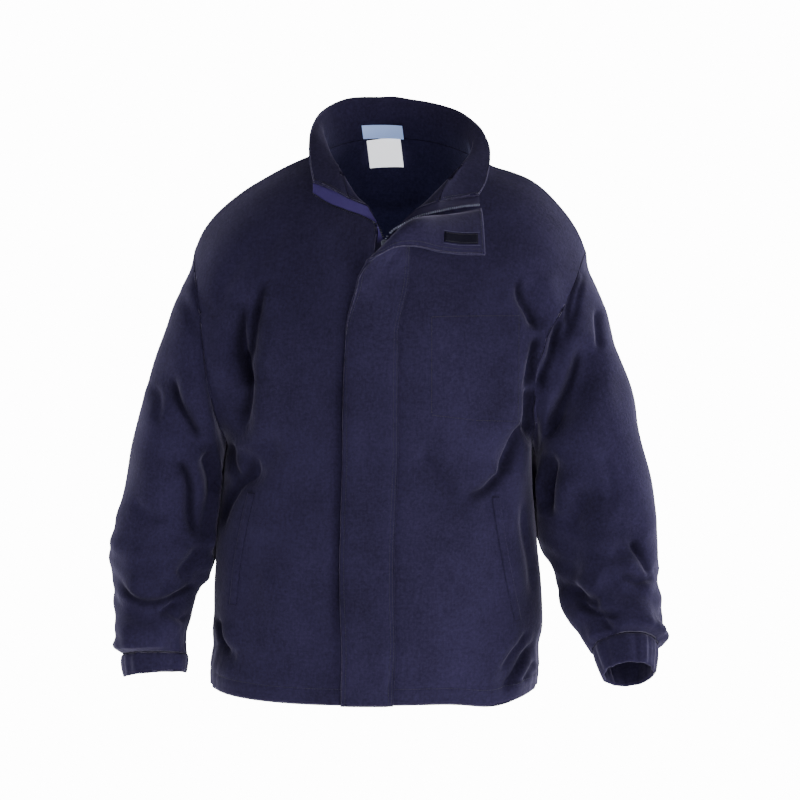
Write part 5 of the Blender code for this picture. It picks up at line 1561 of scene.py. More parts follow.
@functools.lru_cache(maxsize=None)
def directions(steps, height):
    """The outward direction at every point of the folded cloth."""
    cloth = sewn_cloth(steps, height)
    return dict(zip(cloth, shared_normals(list(cloth.values()))))


def body_wall(grid):
    """The wall's thickness, doubled where the hem is turned up."""
    turned_up = 1 - rise_over(grid[..., 2], HEM_Z + HEM_HEIGHT - 1.5 * MM, HEM_Z + HEM_HEIGHT + 1.5 * MM)
    return WALL + (HEM_WALL - WALL) * turned_up


def hem_pressed(grid, normals):
    """Presses the hem's line of stitches into the cloth."""
    away = (grid[..., 2] - HEM_Z - HEM_HEIGHT) / (2.4 * MM)
    return grid - normals * (STITCH_SUNK * np.exp(-away**2))[..., None]


def build_panel(context, piece, node_name, key, rims):
    """A front or the back, with its hem pressed and its creases shaded."""
    cloth, normals = cloth_of(context)
    grid, _ = cloth[key]
    made = shell(piece, hem_pressed(grid, normals[key]), normals[key], body_wall(grid),
                 fleece_finish(context), rims=rims, marks=painted_crease_shade_marks(key, grid, normals[key]))
    return on_body(made, "garment", "fleece", node_name)


def build_sleeve(context, piece, node_name, key, cuff_side):
    """A sleeve, open at its cuff side."""
    cloth, normals = cloth_of(context)
    grid, _ = cloth[key]
    # Its crease marks give painted shade in its creases.
    made = shell(piece, grid, normals[key], WALL, fleece_finish(context), round_it=True,
                 rims={cuff_side: OPEN_ROUND}, marks=painted_crease_shade_marks(key, grid, normals[key]))
    return on_body(made, "garment", "fleece", node_name)


def build_collar(context):
    """The collar, doubled above its seam."""
    cloth, normals = cloth_of(context)
    grid, _ = cloth["collar"]
    tall = np.linspace(0, COLLAR_ROWS, len(grid))
    thick = np.interp(tall, range(COLLAR_ROWS + 1), (WALL, WALL, (WALL + COLLAR_WALL) / 2,
                                                     COLLAR_WALL, COLLAR_WALL))
    made = shell("collar_cloth", grid, normals["collar"], thick, fleece_finish(context),
                 rims={"top": OPEN_ROUND, "first": 0.9, "last": 0.9})
    return on_body(made, "garment", "fleece", "collar")


def build_cuff(context, piece, node_name, key):
    """A gathered cuff, open at both ends."""
    rows = cuff_rows(SLEEVE_ENDS[key][0], np.arange(CUFF_COLUMNS) / CUFF_COLUMNS, *SLEEVE_ENDS[key][1:])
    rows = rows[::-1] if key == "sleeve_right" else rows
    made = shell(piece, rows, own_normals(rows, True), CUFF_WALL, fleece_finish(context), round_it=True,
                 rims={"bottom": OPEN_ROUND, "top": OPEN_ROUND})
    return on_body(made, "garment", "fleece", node_name)


def flap_grid(context):
    """The storm flap's outer points: flat on the fronts, then turned over with the collar."""
    cloth, _ = cloth_of(context)
    t = np.array(FLAP_PLACES)
    puff = sum(np.exp(-((t - place) / 0.022) ** 2) for place in FLAP_STITCHED)
    out = FLAP_AIR + FLAP_WALL + FLAP_PUFF * (np.sin(t * math.pi) ** 0.5 * 0.5 - puff * 0.6)
    sewn_down = rise_over(t, FLAP_SEWN_FROM, 1.0)
    out = out * (1 - sewn_down) + (LIFT + FLAP_SEWN_WALL) * sewn_down
    flat = []
    for row, z in enumerate(cloth["front_left"][0][:, 0, 2]):
        if z > FLAP_FLAT_TOP_Z:
            break
        up = (z - HEM_Z) / (FLAP_FLAT_TOP_Z - HEM_Z)
        sewn = FLAP_SEWN_AT_HEM + (FLAP_SEWN_AT_TOP - FLAP_SEWN_AT_HEM) * up
        free = FLAP_FREE_AT_HEM + (FLAP_FREE_AT_TOP - FLAP_FREE_AT_HEM) * up
        flat.append(on_front(cloth, row, -free + (sewn + free) * t, out[:, None]))
    turned = []
    bend = unit(np.array((0.0, -0.6, 0.8)))
    for row in FLAP_TURN:
        sewn, free, rise = np.array(row[:3]) * MM, np.array(row[3:6]) * MM, row[6] * MM
        line = free * (1 - t[:, None]) + sewn * t[:, None]
        turned.append(line + bend * rise * 4 * (t * (1 - t))[:, None])
    steps = context.scene.jacket_cloth.fineness
    knots = np.stack([flat[-1 - 2 * steps], flat[-1]] + turned)
    above = line_at(knots, np.linspace(1, len(knots) - 1, (len(knots) - 2) * steps + 1))
    rows = np.concatenate([np.stack(flat[:-1]), above])
    return rows - own_normals(rows) * crease_depth(rows, "flap")[..., None]


def flap_wall():
    """The flap's thickness across its width, thinner where it is sewn down."""
    t = np.array(FLAP_PLACES)
    return FLAP_WALL + (FLAP_SEWN_WALL - FLAP_WALL) * rise_over(t, FLAP_SEWN_FROM, 1.0)


def build_flap(context):
    """The storm flap with its turned top."""
    rows = flap_grid(context)
    thick = np.broadcast_to(flap_wall(), rows.shape[:2])
    made = shell("storm_flap_cloth", rows, own_normals(rows), thick, fleece_finish(context),
                 rims=dict.fromkeys(("bottom", "top", "first"), OPEN_ROUND))
    return on_body(made, "garment", "fleece", "storm_flap")


def flap_lines(context, inner):
    """Rows, columns and directions of one face of the flap, for what is sewn to it."""
    rows = flap_grid(context)
    facing = own_normals(rows)
    if inner:
        return rows - facing * flap_wall()[None, :, None], -facing
    return rows, facing


def patch_line(face, facing, across, places_from_corner, out):
    """A line along the flap at one place across it, at given distances from its upper corner."""
    t = np.array(FLAP_PLACES)
    line = np.stack([[np.interp(across, t, row[:, a]) for a in range(3)] for row in face])[::-1]
    way = np.stack([[np.interp(across, t, row[:, a]) for a in range(3)] for row in facing])[::-1]
    step = np.concatenate([[0], np.cumsum(np.linalg.norm(np.diff(line, axis=0), axis=1))])
    at = np.asarray(places_from_corner)
    points = np.stack([np.interp(at, step, column) for column in line.T], axis=1)
    ways = unit(np.stack([np.interp(at, step, column) for column in way.T], axis=1))
    return points + ways * out, ways


def build_patch(context):
    """The hook patch on the flap's turned corner, a dense tape with a sealed edge."""
    face, facing = flap_lines(context, True)
    long = np.linspace(PATCH_FROM_CORNER[0], PATCH_FROM_CORNER[1] + PATCH_LONGER, 40)[::-1]
    lines = [patch_line(face, facing, across, long,
                        0.25 * MM + PATCH_THICK)
             for across in np.linspace(*PATCH_BAND, 13)]
    grid = np.stack([points for points, _ in lines], axis=1)
    ways = np.stack([way for _, way in lines], axis=1)
    edge = np.minimum.outer(np.minimum(np.arange(40), np.arange(40)[::-1]) / 2.0,
                            np.minimum(np.arange(13), np.arange(13)[::-1]) / 1.0)
    grid = grid - ways * (0.45 * MM * (1 - np.clip(edge, 0, 1)))[..., None]
    if (np.cross(grid[0, 1] - grid[0, 0], grid[1, 0] - grid[0, 0]) @ ways[0, 0]) < 0:
        grid, ways = grid[::-1], ways[::-1]
    made = shell("hook_patch_tape", grid, ways, PATCH_THICK, hook_finish(context), rims={})
    return on_body(made, "garment", "hook_tape", "hook_patch")


def zip_at(context):
    """The zip's lines up both fronts and round the collar ends."""
    cloth, normals = cloth_of(context)
    return zip_lines(cloth, normals)


def build_tape(context, piece, node_name, first, last, facing, finish_of, slot):
    """A woven zip tape between two lines; last lies to the right of first as seen from outside."""
    over = unit(last - first)
    low, high = first + over * TAPE_GAP * 0.4, last - over * TAPE_GAP * 0.15
    t = np.linspace(0, 1, 7)
    grid = low[:, None] * (1 - t[None, :, None]) + high[:, None] * t[None, :, None]
    normals = own_normals(grid)
    for column, given in ((0, facing[0]), (-1, facing[1])):
        if given is not None:
            normals[:, column] = given
    sunk = -(WALL - TAPE_THICK) / 2
    made = shell(piece, grid, normals, TAPE_THICK * 0.8, finish_of, out=sunk,
                 rims=dict.fromkeys(("bottom", "top", "first", "last"), 0.8))
    return on_body(made, "garment", slot, node_name)


TOOTH_RINGS = ((-0.5, 0.75), (-0.4, 1.0), (0.3, 1.0), (0.42, 0.86), (0.5, 0.6))
TOOTH_CORNERS = ((-0.5, -0.32), (-0.36, -0.5), (0.36, -0.5), (0.5, -0.32),
                 (0.5, 0.32), (0.36, 0.5), (-0.36, 0.5), (-0.5, 0.32))


def build_teeth(context, piece, rows, metal, node_name):
    """Metal teeth along lines; each row gives places, directions across and directions outwards."""
    centre, across, out = (np.concatenate(part) for part in zip(*rows))
    up = unit(np.cross(out, across))
    out = unit(np.cross(across, up))
    rings = []
    for along, scale in TOOTH_RINGS:
        ring = [centre + across * along * TOOTH_WIDE + up * a * scale * TOOTH_TALL
                + out * b * scale * TEETH_THICK for a, b in TOOTH_CORNERS]
        rings.append(np.stack(ring, axis=1))
    points = np.stack(rings, axis=1)
    count, layers, corners = points.shape[:3]
    number = np.arange(count * layers * corners).reshape(count, layers, corners)
    after = np.roll(number, -1, axis=2)
    quads = np.stack([number[:, :-1], number[:, 1:], after[:, 1:], after[:, :-1]], axis=-1)
    faces = quads.reshape(-1, 4).tolist() + number[:, 0].tolist() + number[:, -1, ::-1].tolist()
    made = mesh_object(piece, points.reshape(-1, 3), faces, metal)
    made.data.set_sharp_from_angle(angle=math.radians(35))
    return on_body(made, "garment", "zip_metal", node_name)


def tooth_places(line, edge, start, pitch):
    """Evenly spaced places on a tape's free line and the directions from its sewn edge."""
    step = np.concatenate([[0], np.cumsum(np.linalg.norm(np.diff(line, axis=0), axis=1))])
    at = np.arange(start, step[-1], pitch)
    place = np.stack([np.interp(at, step, column) for column in line.T], axis=1)
    back = np.stack([np.interp(at, step, column) for column in edge.T], axis=1)
    ahead = np.stack([np.interp(at + MM, step, column) for column in line.T], axis=1)
    behind = np.stack([np.interp(at - MM, step, column) for column in line.T], axis=1)
    return place, unit(place - back), unit(ahead - behind)


def build_zip(context):
    """Both tapes and every tooth: meshed below the slider, spread open above it."""
    tone = context.scene.jacket_colours
    lines = zip_at(context)
    edge_r, facing_r, free_r, closed = lines["front_right"]
    edge_l, facing_l, free_l, _ = lines["front_left"]
    made = [
        # Below a height the right tape is painted navy, as painted shade.
        build_tape(context, "right_zip_tape", "zip_tape_right", edge_r, free_r, (facing_r, None),
                   tape_finish(context, "Royal blue tape", tone.blue_tape, tone.navy_tape), "blue_tape"),
        build_tape(context, "left_zip_tape", "zip_tape_left", free_l, edge_l, (None, facing_l),
                   tape_finish(context, "Navy tape", tone.navy_tape), "navy_tape"),
    ]
    meshed, right, left = [], [], []
    level = -WALL / 2
    for edge, free, side, into, shift in ((edge_r, free_r, 1, right, 0.0),
                                          (edge_l, free_l, -1, left, TOOTH_PITCH / 2)):
        low = slice(0, closed + 1)
        place, across, along = tooth_places(free[low], edge[low], TOOTH_PITCH + shift, TOOTH_PITCH)
        out = unit(np.cross(across * side, along))
        meshed.append((place + across * 1.1 * MM + out * level, across, out))
        high = slice(closed, None)
        place, across, along = tooth_places(free[high], edge[high], 3 * MM + shift, TOOTH_PITCH)
        out = unit(np.cross(across * side, along))
        into.append((place + across * 0.9 * MM + out * level, across, out))
    # Darker and lighter copies of one zip metal: painted shade on the right open teeth and a painted
    # highlight on the left ones.
    dark = metal_finish(context, "Blackened zip metal", 0.25)
    bright = metal_finish(context, "Bright zip metal", 3.2)
    made.append(build_teeth(context, "zip_chain_teeth", meshed, metal_finish(context), "zip_chain"))
    made.append(build_teeth(context, "right_open_teeth", right, dark, "teeth_right"))
    made.append(build_teeth(context, "left_open_teeth", left, bright, "teeth_left"))
    return made


def chamfered(outline, thick, chamfer):
    """A flat plate on an outline in two axes, with chamfered rims: points and faces."""
    outline = np.asarray(outline, float)
    middle = outline.mean(axis=0)
    reach = np.linalg.norm(outline - middle, axis=1, keepdims=True)
    inset = middle + (outline - middle) * (1 - chamfer / reach)
    layers = ((inset, -thick / 2), (outline, -thick / 2 + chamfer), (outline, thick / 2 - chamfer),
              (inset, thick / 2))
    points = np.concatenate([np.column_stack([ring, np.full(len(ring), level)]) for ring, level in layers])
    n = len(outline)
    faces = [tuple(range(n))[::-1], tuple(range(3 * n, 4 * n))]
    for layer in range(3):
        for i in range(n):
            j = (i + 1) % n
            faces.append((layer * n + i, layer * n + j, (layer + 1) * n + j, (layer + 1) * n + i))
    return points, faces


def rounded(wide, tall, power=4.0, count=36, taper=0.0):
    """An outline between an ellipse and a rectangle, narrower towards its lower end."""
    angle = np.linspace(0, 2 * math.pi, count, endpoint=False)
    c, s = np.cos(angle), np.sin(angle)
    x = np.sign(c) * np.abs(c) ** (2 / power) * wide / 2
    z = np.sign(s) * np.abs(s) ** (2 / power) * tall / 2
    return np.column_stack([x * (1 + taper * z / tall), z])


def gathered_mesh(name, shapes, finish_of):
    """One object from several closed shapes, each with the axes and the centre it is placed by."""
    points, faces, start = [], [], 0
    for (shape, sides), axes, centre in shapes:
        placed = np.asarray(shape) @ np.array(axes, float) + centre
        points.append(placed)
        faces += [tuple(i + start for i in face) for face in sides]
        start += len(placed)
    made = mesh_object(name, np.concatenate(points), faces, finish_of)
    made.data.set_sharp_from_angle(angle=math.radians(38))
    return made


FACING_FRONT = ((1, 0, 0), (0, 0, 1), (0, -1, 0))
FACING_SIDE = ((0, 1, 0), (0, 0, 1), (1, 0, 0))


def joint_place(name):
    """A joint's own place, from the packed record."""
    for joint in frame["record"]["behaviour"]["joints"]:
        if joint["name"] == name:
            return np.array(joint["pos_m"], float)
    raise RuntimeError(f"the record has no joint {name}")


def build_slider(context):
    """The slider: two plates round the chain, the post between them, and the lugs and pin of the pull."""
    low, high = (np.array(corner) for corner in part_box("zip_slider"))
    pin = joint_place("pull_hinge")
    chain_y = high[1] - SLIDER_PLATE - SLIDER_AIR - TEETH_THICK / 2
    centre = np.array((pin[0], chain_y, (low[2] + high[2]) / 2))
    plate_out = TEETH_THICK / 2 + SLIDER_AIR + SLIDER_PLATE / 2
    plate = chamfered(rounded(SLIDER_WIDE, SLIDER_TALL, 3.2, taper=0.28), SLIDER_PLATE, 0.3 * MM)
    flange = chamfered(rounded(1.0 * MM, SLIDER_TALL * 0.72, 4, 20), 2 * SLIDER_AIR + 1.0 * MM, 0.2 * MM)
    post = chamfered(rounded(POST_WIDE, POST_TALL, 3, 20), 2 * plate_out, 0.25 * MM)
    reach = centre[1] - plate_out - pin[1]
    lug = chamfered(rounded(reach + 2.2 * MM, EAR_TALL, 2.6, 28), EAR_WIDE, 0.2 * MM)
    rod = chamfered(rounded(2 * PIN_RADIUS, 2 * PIN_RADIUS, 2, 20), PULL_WIDE + 2 * EAR_WIDE, 0.15 * MM)
    lug_x = PULL_WIDE / 2 + 0.3 * MM + EAR_WIDE / 2
    lug_y = pin[1] + reach / 2
    side = SLIDER_WIDE / 2 - 0.7 * MM
    shapes = [
        (plate, FACING_FRONT, centre + (0, -plate_out, 0)),
        (plate, FACING_FRONT, centre + (0, plate_out, 0)),
        (post, FACING_FRONT, centre + (0, 0, SLIDER_TALL / 2 - POST_TALL / 2 - 0.3 * MM)),
        (rod, FACING_SIDE, pin),
    ]
    for way in (-1, 1):
        shapes.append((lug, FACING_SIDE, np.array((pin[0] + way * lug_x, lug_y, pin[2]))))
        for face in (-1, 1):
            shapes.append((flange, FACING_FRONT,
                           centre + (way * side, face * (plate_out - 0.9 * MM), -0.6 * MM)))
    made = gathered_mesh("zip_slider_metal", shapes, metal_finish(context))
    return on_body(made, "garment", "zip_metal", "zip_slider")


def build_pull(context):
    """The pull tab: a strip of metal curled round the pin, with a waist and a rounded grip."""
    pin = joint_place("pull_hinge")
    curl = (EYE_RADIUS + EYE_HOLE) / 2
    angle = np.radians(np.linspace(-62, 236, 34))
    ring = np.stack([np.cos(angle) * -curl, np.sin(angle) * curl], axis=1)
    foot = np.linspace(-curl - 1.0 * MM, -PULL_LONG + 0.2 * MM, 60)
    tail = np.stack([np.zeros_like(foot), foot], axis=1)
    path = spaced(np.concatenate([ring, tail]), 110)
    waist = np.interp(path[:, 1] / MM, (-24, -20, -12, -7, -4.2, -2.6, 3),
                      (4.0, 4.0, 3.8, 3.0, 2.6, 3.6, 3.6)) * MM
    waist = np.where(np.arange(len(path)) < 36, 3.6 * MM, smooth_through(waist, 6))
    end = np.clip((path[:, 1] + PULL_LONG) / (2.0 * MM), 0.02, 1)
    waist = waist * np.sqrt(1 - (1 - end) ** 2)
    across = np.linspace(-0.5, 0.5, 9)
    grid = np.stack([np.column_stack([np.full(len(path), 0.0) + waist * a, path]) for a in across], axis=1)
    normals = own_normals(grid)
    thick = PULL_THICK * 0.8
    grip = np.exp(-(((path[:, 1] / MM + 19) / 2.2) ** 2))[:, None] * (np.abs(across) < 0.3)[None]
    made = shell("pull_tab_metal", grid + pin, normals, thick - 0.35 * MM * grip, metal_finish(context),
                 out=thick / 2, rims=dict.fromkeys(("bottom", "top", "first", "last"), 0.7))
    made.data.set_sharp_from_angle(angle=math.radians(60))
    return on_body(made, "pull_tab", "zip_metal", "zip_pull")


def build_welt(context, piece, node_name, key, pocket):
    """The narrow welt that edges a side pocket, lying just on the front."""
    cloth, normals = cloth_of(context)
    grid, way = cloth[key][0], normals[key]
    lower = int(np.sum(grid[:, 3, 2] < UNDERARM_Z)) + 10
    line = spaced(through(np.array(pocket) * MM), 61)
    rows = []
    reaches = np.array((-1, -0.94, -0.8, -0.45, 0, 0.45, 0.8, 0.94, 1)) * WELT_HALF
    rise = np.array((0.1, 0.5, 0.85, 1, 1, 1, 0.85, 0.5, 0.1)) * 0.9 * MM
    for x, z in line[::-1]:
        rows.append([on_cloth(grid[:lower], way[:lower], x + reach, z, 0.55 * MM + up)
                     for reach, up in zip(reaches, rise)])
    rows = np.array(rows)
    made = shell(piece, rows, own_normals(rows), 1.0 * MM, fleece_finish(context), rims={})
    return on_body(made, "garment", "fleece", node_name)


def label_rows(context, limits, heights, hung):
    """Rows of a label inside the neck: on the collar, or hung from the neck seam."""
    cloth, normals = cloth_of(context)
    columns = cloth["collar"][0].shape[1]
    back = slice(columns // 4, columns - columns // 4)
    grid, facing = cloth["collar"][0][:, back], normals["collar"][:, back]
    wall_at = np.interp(np.linspace(0, COLLAR_ROWS, len(grid)), range(COLLAR_ROWS + 1),
                        (WALL, WALL, (WALL + COLLAR_WALL) / 2, COLLAR_WALL, COLLAR_WALL))
    lines = []
    for x in np.linspace(*limits, 21) * MM:
        place = np.stack([[np.interp(-x, -row[:, 0], row[:, a]) for a in range(3)] for row in grid])
        way = unit(np.stack([[np.interp(-x, -row[:, 0], w[:, a]) for a in range(3)]
                             for row, w in zip(grid, facing)]))
        if hung:
            top = place[0] - way[0] * (1, 1, 0) * (WALL + 2 * LIFT) + (0, CARE_LABEL_BACK, 0)
            drop = heights[:, None]
            away = CARE_LABEL_AWAY * (drop / CARE_LABEL_DROP[1]) ** 2
            bow = 0.8 * MM * np.sin(math.pi * (x / MM - limits[0]) / (limits[1] - limits[0]))
            lines.append(top - drop * (0, 0, 1) + (away - bow * drop / CARE_LABEL_DROP[1]) * (0, 1, 0))
        else:
            inner = place - way * (wall_at[:, None] + LIFT)
            step = np.concatenate([[0], np.cumsum(np.linalg.norm(np.diff(inner, axis=0), axis=1))])
            lines.append(np.stack([np.interp(heights, step, c) for c in inner.T], axis=1))
    rows = np.stack(lines, axis=1)[:, ::-1]
    middle_x = rows[..., 0].mean()
    lean = LABEL_LEAN * (rows[..., 2].max() - rows[..., 2])
    rows[..., 2] -= LABEL_LEAN * (rows[..., 0] - middle_x) * (0.0 if hung else 0.4)
    rows[..., 0] += lean - lean.mean()
    return rows


def build_labels(context):
    """Two blank labels: a woven one on the collar's inner face and a soft care label below it."""
    tone = context.scene.jacket_colours
    rows = label_rows(context, NECK_LABEL_X, np.linspace(0.4 * MM, NECK_LABEL_UP[1], 14), False)
    # The neck label glows a little, as painted light.
    neck = shell("neck_label_cloth", rows, own_normals(rows), LABEL_THICK,
                 label_finish(context, "Woven label", tone.neck_label, 0.3), rims={})
    limits = (CARE_LABEL_X[0], CARE_LABEL_X[1] - 4.0)
    rows = label_rows(context, limits, np.linspace(CARE_LABEL_DROP[1], 1.2 * MM, 26), True)
    # The care label glows more, as painted light.
    care = shell("care_label_cloth", rows, own_normals(rows), LABEL_THICK,
                 label_finish(context, "Care label", tone.care_label, 1.2), rims={})
    on_body(neck, "garment", "label", "neck_label")
    on_body(care, "garment", "label", "care_label")
    return neck, care


# ---------------------------------------------------------------- sewing


def line_on_flap(context, inner, across, start=6 * MM, end=0.0):
    """A line of stitches along the flap, at one place across it."""
    face, facing = flap_lines(context, inner)
    total = np.linalg.norm(np.diff(face[:, 0], axis=0), axis=1).sum()
    return patch_line(face, facing, across, np.arange(start, total - end, 2 * MM), 0.0)


def line_across_flap(context, inner, from_corner, across):
    """A line across the flap at one distance from its top corner."""
    face, facing = flap_lines(context, inner)
    ends = [patch_line(face, facing, place, [from_corner], 0.0) for place in across]
    return (np.concatenate([points for points, _ in ends]), np.concatenate([way for _, way in ends]))


def beside_edge(grid, normals, side, reach, thick, inner=True):
    """A line at a given distance from one side of a panel, on its inner or outer face."""
    turned = grid if side == "first" else grid[:, ::-1]
    ways = normals if side == "first" else normals[:, ::-1]
    points, directions_there = [], []
    for row, way in zip(turned, ways):
        step = np.concatenate([[0], np.cumsum(np.linalg.norm(np.diff(row, axis=0), axis=1))])
        points.append([np.interp(reach, step, column) for column in row.T])
        directions_there.append([np.interp(reach, step, column) for column in way.T])
    points, directions_there = np.array(points), unit(np.array(directions_there))
    if inner:
        return points - directions_there * thick, -directions_there
    return points, directions_there


def on_panel_line(grid, normals, places_xz, out=0.0):
    """Points of a front along a line of x and z places."""
    line = spaced(np.array(places_xz, float) * MM, 160)
    points = np.array([on_cloth(grid, normals, x, z, out) for x, z in line])
    ways = np.array([on_cloth(grid, normals, x, z, out + MM) for x, z in line]) - points
    return points, unit(ways)


def build_stitching(context):
    """Every visible line of stitches, as raised threads sunk a little into the cloth."""
    cloth, normals = cloth_of(context)
    size = context.scene.jacket_trim
    tone = context.scene.jacket_colours
    sewn = (size.stitch_length, size.stitch_pitch, size.stitch_width)
    hem = []
    for key in ("front_right", "front_left", "back"):
        pressed = hem_pressed(cloth[key][0], normals[key])
        row = int(np.argmin(np.abs(cloth[key][0][:, 3, 2] - HEM_Z - HEM_HEIGHT)))
        hem.append((pressed[row], normals[key][row]))
    flap = [line_on_flap(context, False, place, 2 * MM) for place in FLAP_STITCHED]
    flap += [line_on_flap(context, False, FLAP_STITCHED[1] + 0.055, 2 * MM)]
    flap += [line_on_flap(context, True, FLAP_STITCHED[0], 5 * MM, 0.43),
             line_across_flap(context, True, 5 * MM, np.linspace(0.1, 0.9, 15)),
             line_across_flap(context, False, 5 * MM, np.linspace(0.1, 0.9, 15))]
    pocket = [on_panel_line(cloth["front_left"][0], normals["front_left"], (a, b))
              for a, b in zip(CHEST_POCKET, CHEST_POCKET[1:])]
    zip_sides = []
    for key, side in (("front_right", "last"), ("front_left", "first")):
        zip_sides.append(beside_edge(cloth[key][0], normals[key], side, 5 * MM, WALL))
        zip_sides.append(beside_edge(cloth["collar"][0], normals["collar"], side, 5 * MM, COLLAR_WALL))
    collar = []
    for key, side in (("front_right", "last"), ("front_left", "first")):
        points, ways = beside_edge(cloth[key][0], normals[key], side, 5 * MM, WALL, inner=False)
        above = points[:, 2] > CLOSED_BELOW
        collar.append((points[above], ways[above]))
    navy = thread_finish(context, "Navy thread", tone.thread)
    made = [
        stitches("hem_stitches", hem, *sewn, navy),
        stitches("flap_stitches", flap, *sewn, navy),
        stitches("pocket_stitches", pocket, *sewn,
                 thread_finish(context, "Pocket thread", tone.thread, 0.4)),
        stitches("zip_stitches", zip_sides + collar, *sewn, navy),
    ]
    face, facing = flap_lines(context, True)
    inset = 1.3 * MM
    around = [patch_line(face, facing, across, np.linspace(PATCH_FROM_CORNER[0] - 3 * MM,
                                                           PATCH_FROM_CORNER[1] + 8 * MM, 30), 0.2 * MM)
              for across in (PATCH_BAND[0] - 0.025, PATCH_BAND[1] + 0.025)]
    on_patch = [patch_line(face, facing, across, np.linspace(PATCH_FROM_CORNER[0] + inset,
                                                             PATCH_FROM_CORNER[1] + PATCH_LONGER - inset, 30),
                           PATCH_THICK + 0.2 * MM)
                for across in (PATCH_BAND[0] + 0.02, PATCH_BAND[1] - 0.02)]
    pale = thread_finish(context, "Pale thread", tone.pale_thread)
    made.append(stitches("patch_stitches", around, 2.6 * MM, 3.0 * MM, 0.5 * MM, pale))
    made.append(stitches("patch_edge_stitches", on_patch, *sewn, navy))
    return [on_body(piece, "garment", "fleece") for piece in made]


# ---------------------------------------------------------------- stage


def disc(name, radius, height, rings, sides, finish_of):
    """A round floor in rings, finer towards its middle."""
    angle = np.linspace(0, 2 * math.pi, sides, endpoint=False)
    round_line = np.stack([np.cos(angle), np.sin(angle), np.zeros(sides)], axis=1)
    points = [np.array([[0.0, 0.0, height]])]
    for step in range(1, rings + 1):
        points.append(round_line * radius * (step / rings) ** 2 + (0, 0, height))
    faces = [(0, 1 + i, 1 + (i + 1) % sides) for i in range(sides)]
    for ring in range(rings - 1):
        low = 1 + ring * sides
        faces += [(low + i, low + sides + i, low + sides + (i + 1) % sides, low + (i + 1) % sides)
                  for i in range(sides)]
    return mesh_object(name, np.concatenate(points), faces, finish_of)


def soft_light(name, place, target, size, watts, colour=(1, 1, 1)):
    """An area light at one place, turned to its target."""
    light = bpy.data.lights.new(name, "AREA")
    light.shape = "DISK"
    light.size = size
    light.energy = watts
    light.color = colour
    made = bpy.data.objects.new(name, light)
    made.location = place
    made.rotation_euler = (Vector(target) - Vector(place)).to_track_quat("-Z", "Y").to_euler()
    bpy.context.scene.collection.objects.link(made)
    return made


def bright_to_camera(tree, lit, glow, strength, target):
    """Joins a shader that lights the room with a plain glow that only the camera sees."""
    path = tree.nodes.new("ShaderNodeLightPath")
    shown = tree.nodes.new("ShaderNodeEmission")
    shown.inputs["Color"].default_value = (*glow, 1)
    shown.inputs["Strength"].default_value = strength
    mixed = tree.nodes.new("ShaderNodeMixShader")
    tree.links.new(path.outputs["Is Camera Ray"], mixed.inputs[0])
    tree.links.new(lit, mixed.inputs[1])
    tree.links.new(shown.outputs[0], mixed.inputs[2])
    tree.links.new(mixed.outputs[0], target)


def build_stage(context):
    """The floor, the lights, the surround and the camera."""
    studio = context.scene.jacket_studio
    floor_finish = finish("Pale floor", fleece_pile(), {"Clump Scale": 40.0, "Fibre Scale": 200.0},
                          (0.82, 0.82, 0.83), (0.88, 0.88, 0.88), 0.2 * MM, 0.05, 0.9,
                          Specular_IOR_Level=0.1)
    tree = floor_finish.node_tree
    bright_to_camera(tree, tree.nodes["Principled BSDF"].outputs[0], (1, 1, 1), studio.backdrop,
                     tree.nodes["Material Output"].inputs["Surface"])
    floor = disc("studio_floor", studio.floor_radius, studio.floor_height, 14, 96, floor_finish)
    world = bpy.data.worlds.new("Studio")
    context.scene.world = world
    world.use_nodes = True
    tree = world.node_tree
    background = tree.nodes["Background"]
    background.inputs["Color"].default_value = (1.0, 1.0, 1.0, 1.0)
    aim = tree.nodes.new("ShaderNodeTexCoord")
    split = node(tree, "ShaderNodeSeparateXYZ", {0: aim.outputs["Generated"]})
    level = node(tree, "ShaderNodeMapRange", {
        "Value": split.outputs["Z"], "From Min": -0.1, "From Max": 0.8,
        "To Min": studio.surround, "To Max": studio.surround * 0.3})
    tree.links.new(level.outputs[0], background.inputs["Strength"])
    seen = tree.nodes.new("ShaderNodeBackground")
    seen.inputs["Color"].default_value = (1.0, 1.0, 1.0, 1.0)
    seen.inputs["Strength"].default_value = studio.backdrop
    path = tree.nodes.new("ShaderNodeLightPath")
    mixed = tree.nodes.new("ShaderNodeMixShader")
    tree.links.new(path.outputs["Is Camera Ray"], mixed.inputs[0])
    tree.links.new(background.outputs[0], mixed.inputs[1])
    tree.links.new(seen.outputs[0], mixed.inputs[2])
    tree.links.new(mixed.outputs[0], tree.nodes["World Output"].inputs["Surface"])
    target = (0.0, 0.0, -0.33)
    soft_light("key_light", (3.3, -1.2, -0.3), target, 1.6, studio.key_watts)
    soft_light("fill_light", (-3.2, -1.4, -0.5), target, 1.8, studio.key_watts * 0.4)
    soft_light("rim_light", (2.2, 1.2, 0.3), target, 1.0, studio.key_watts * 0.8)
    soft_light("rim_light_left", (-2.2, 1.2, 0.3), target, 1.0, studio.key_watts * 0.6)
    soft_light("low_light", (0.5, -1.9, -1.25), (0.0, 0.0, -0.6), 1.2, studio.key_watts * 0.3)
    hollow = soft_light("hollow_light", (0.02, -0.03, -0.42), (0.0, 0.12, -0.08), 0.1,
                        studio.hollow_watts, (0.6, 0.75, 1.0))
    hollow.visible_camera = False
    camera = bpy.data.cameras.new("Camera")
    camera.lens = 120
    camera.sensor_width = 36
    camera.clip_end = 100
    holder = bpy.data.objects.new("Camera", camera)
    holder.location = (0.0108, -3.56497, 0.18102)
    aim = Vector((0.0108, 0.0, -0.320))
    holder.rotation_euler = (aim - holder.location).to_track_quat("-Z", "Y").to_euler()
    context.scene.collection.objects.link(holder)
    context.scene.camera = holder
    return floor


# ---------------------------------------------------------------- settings


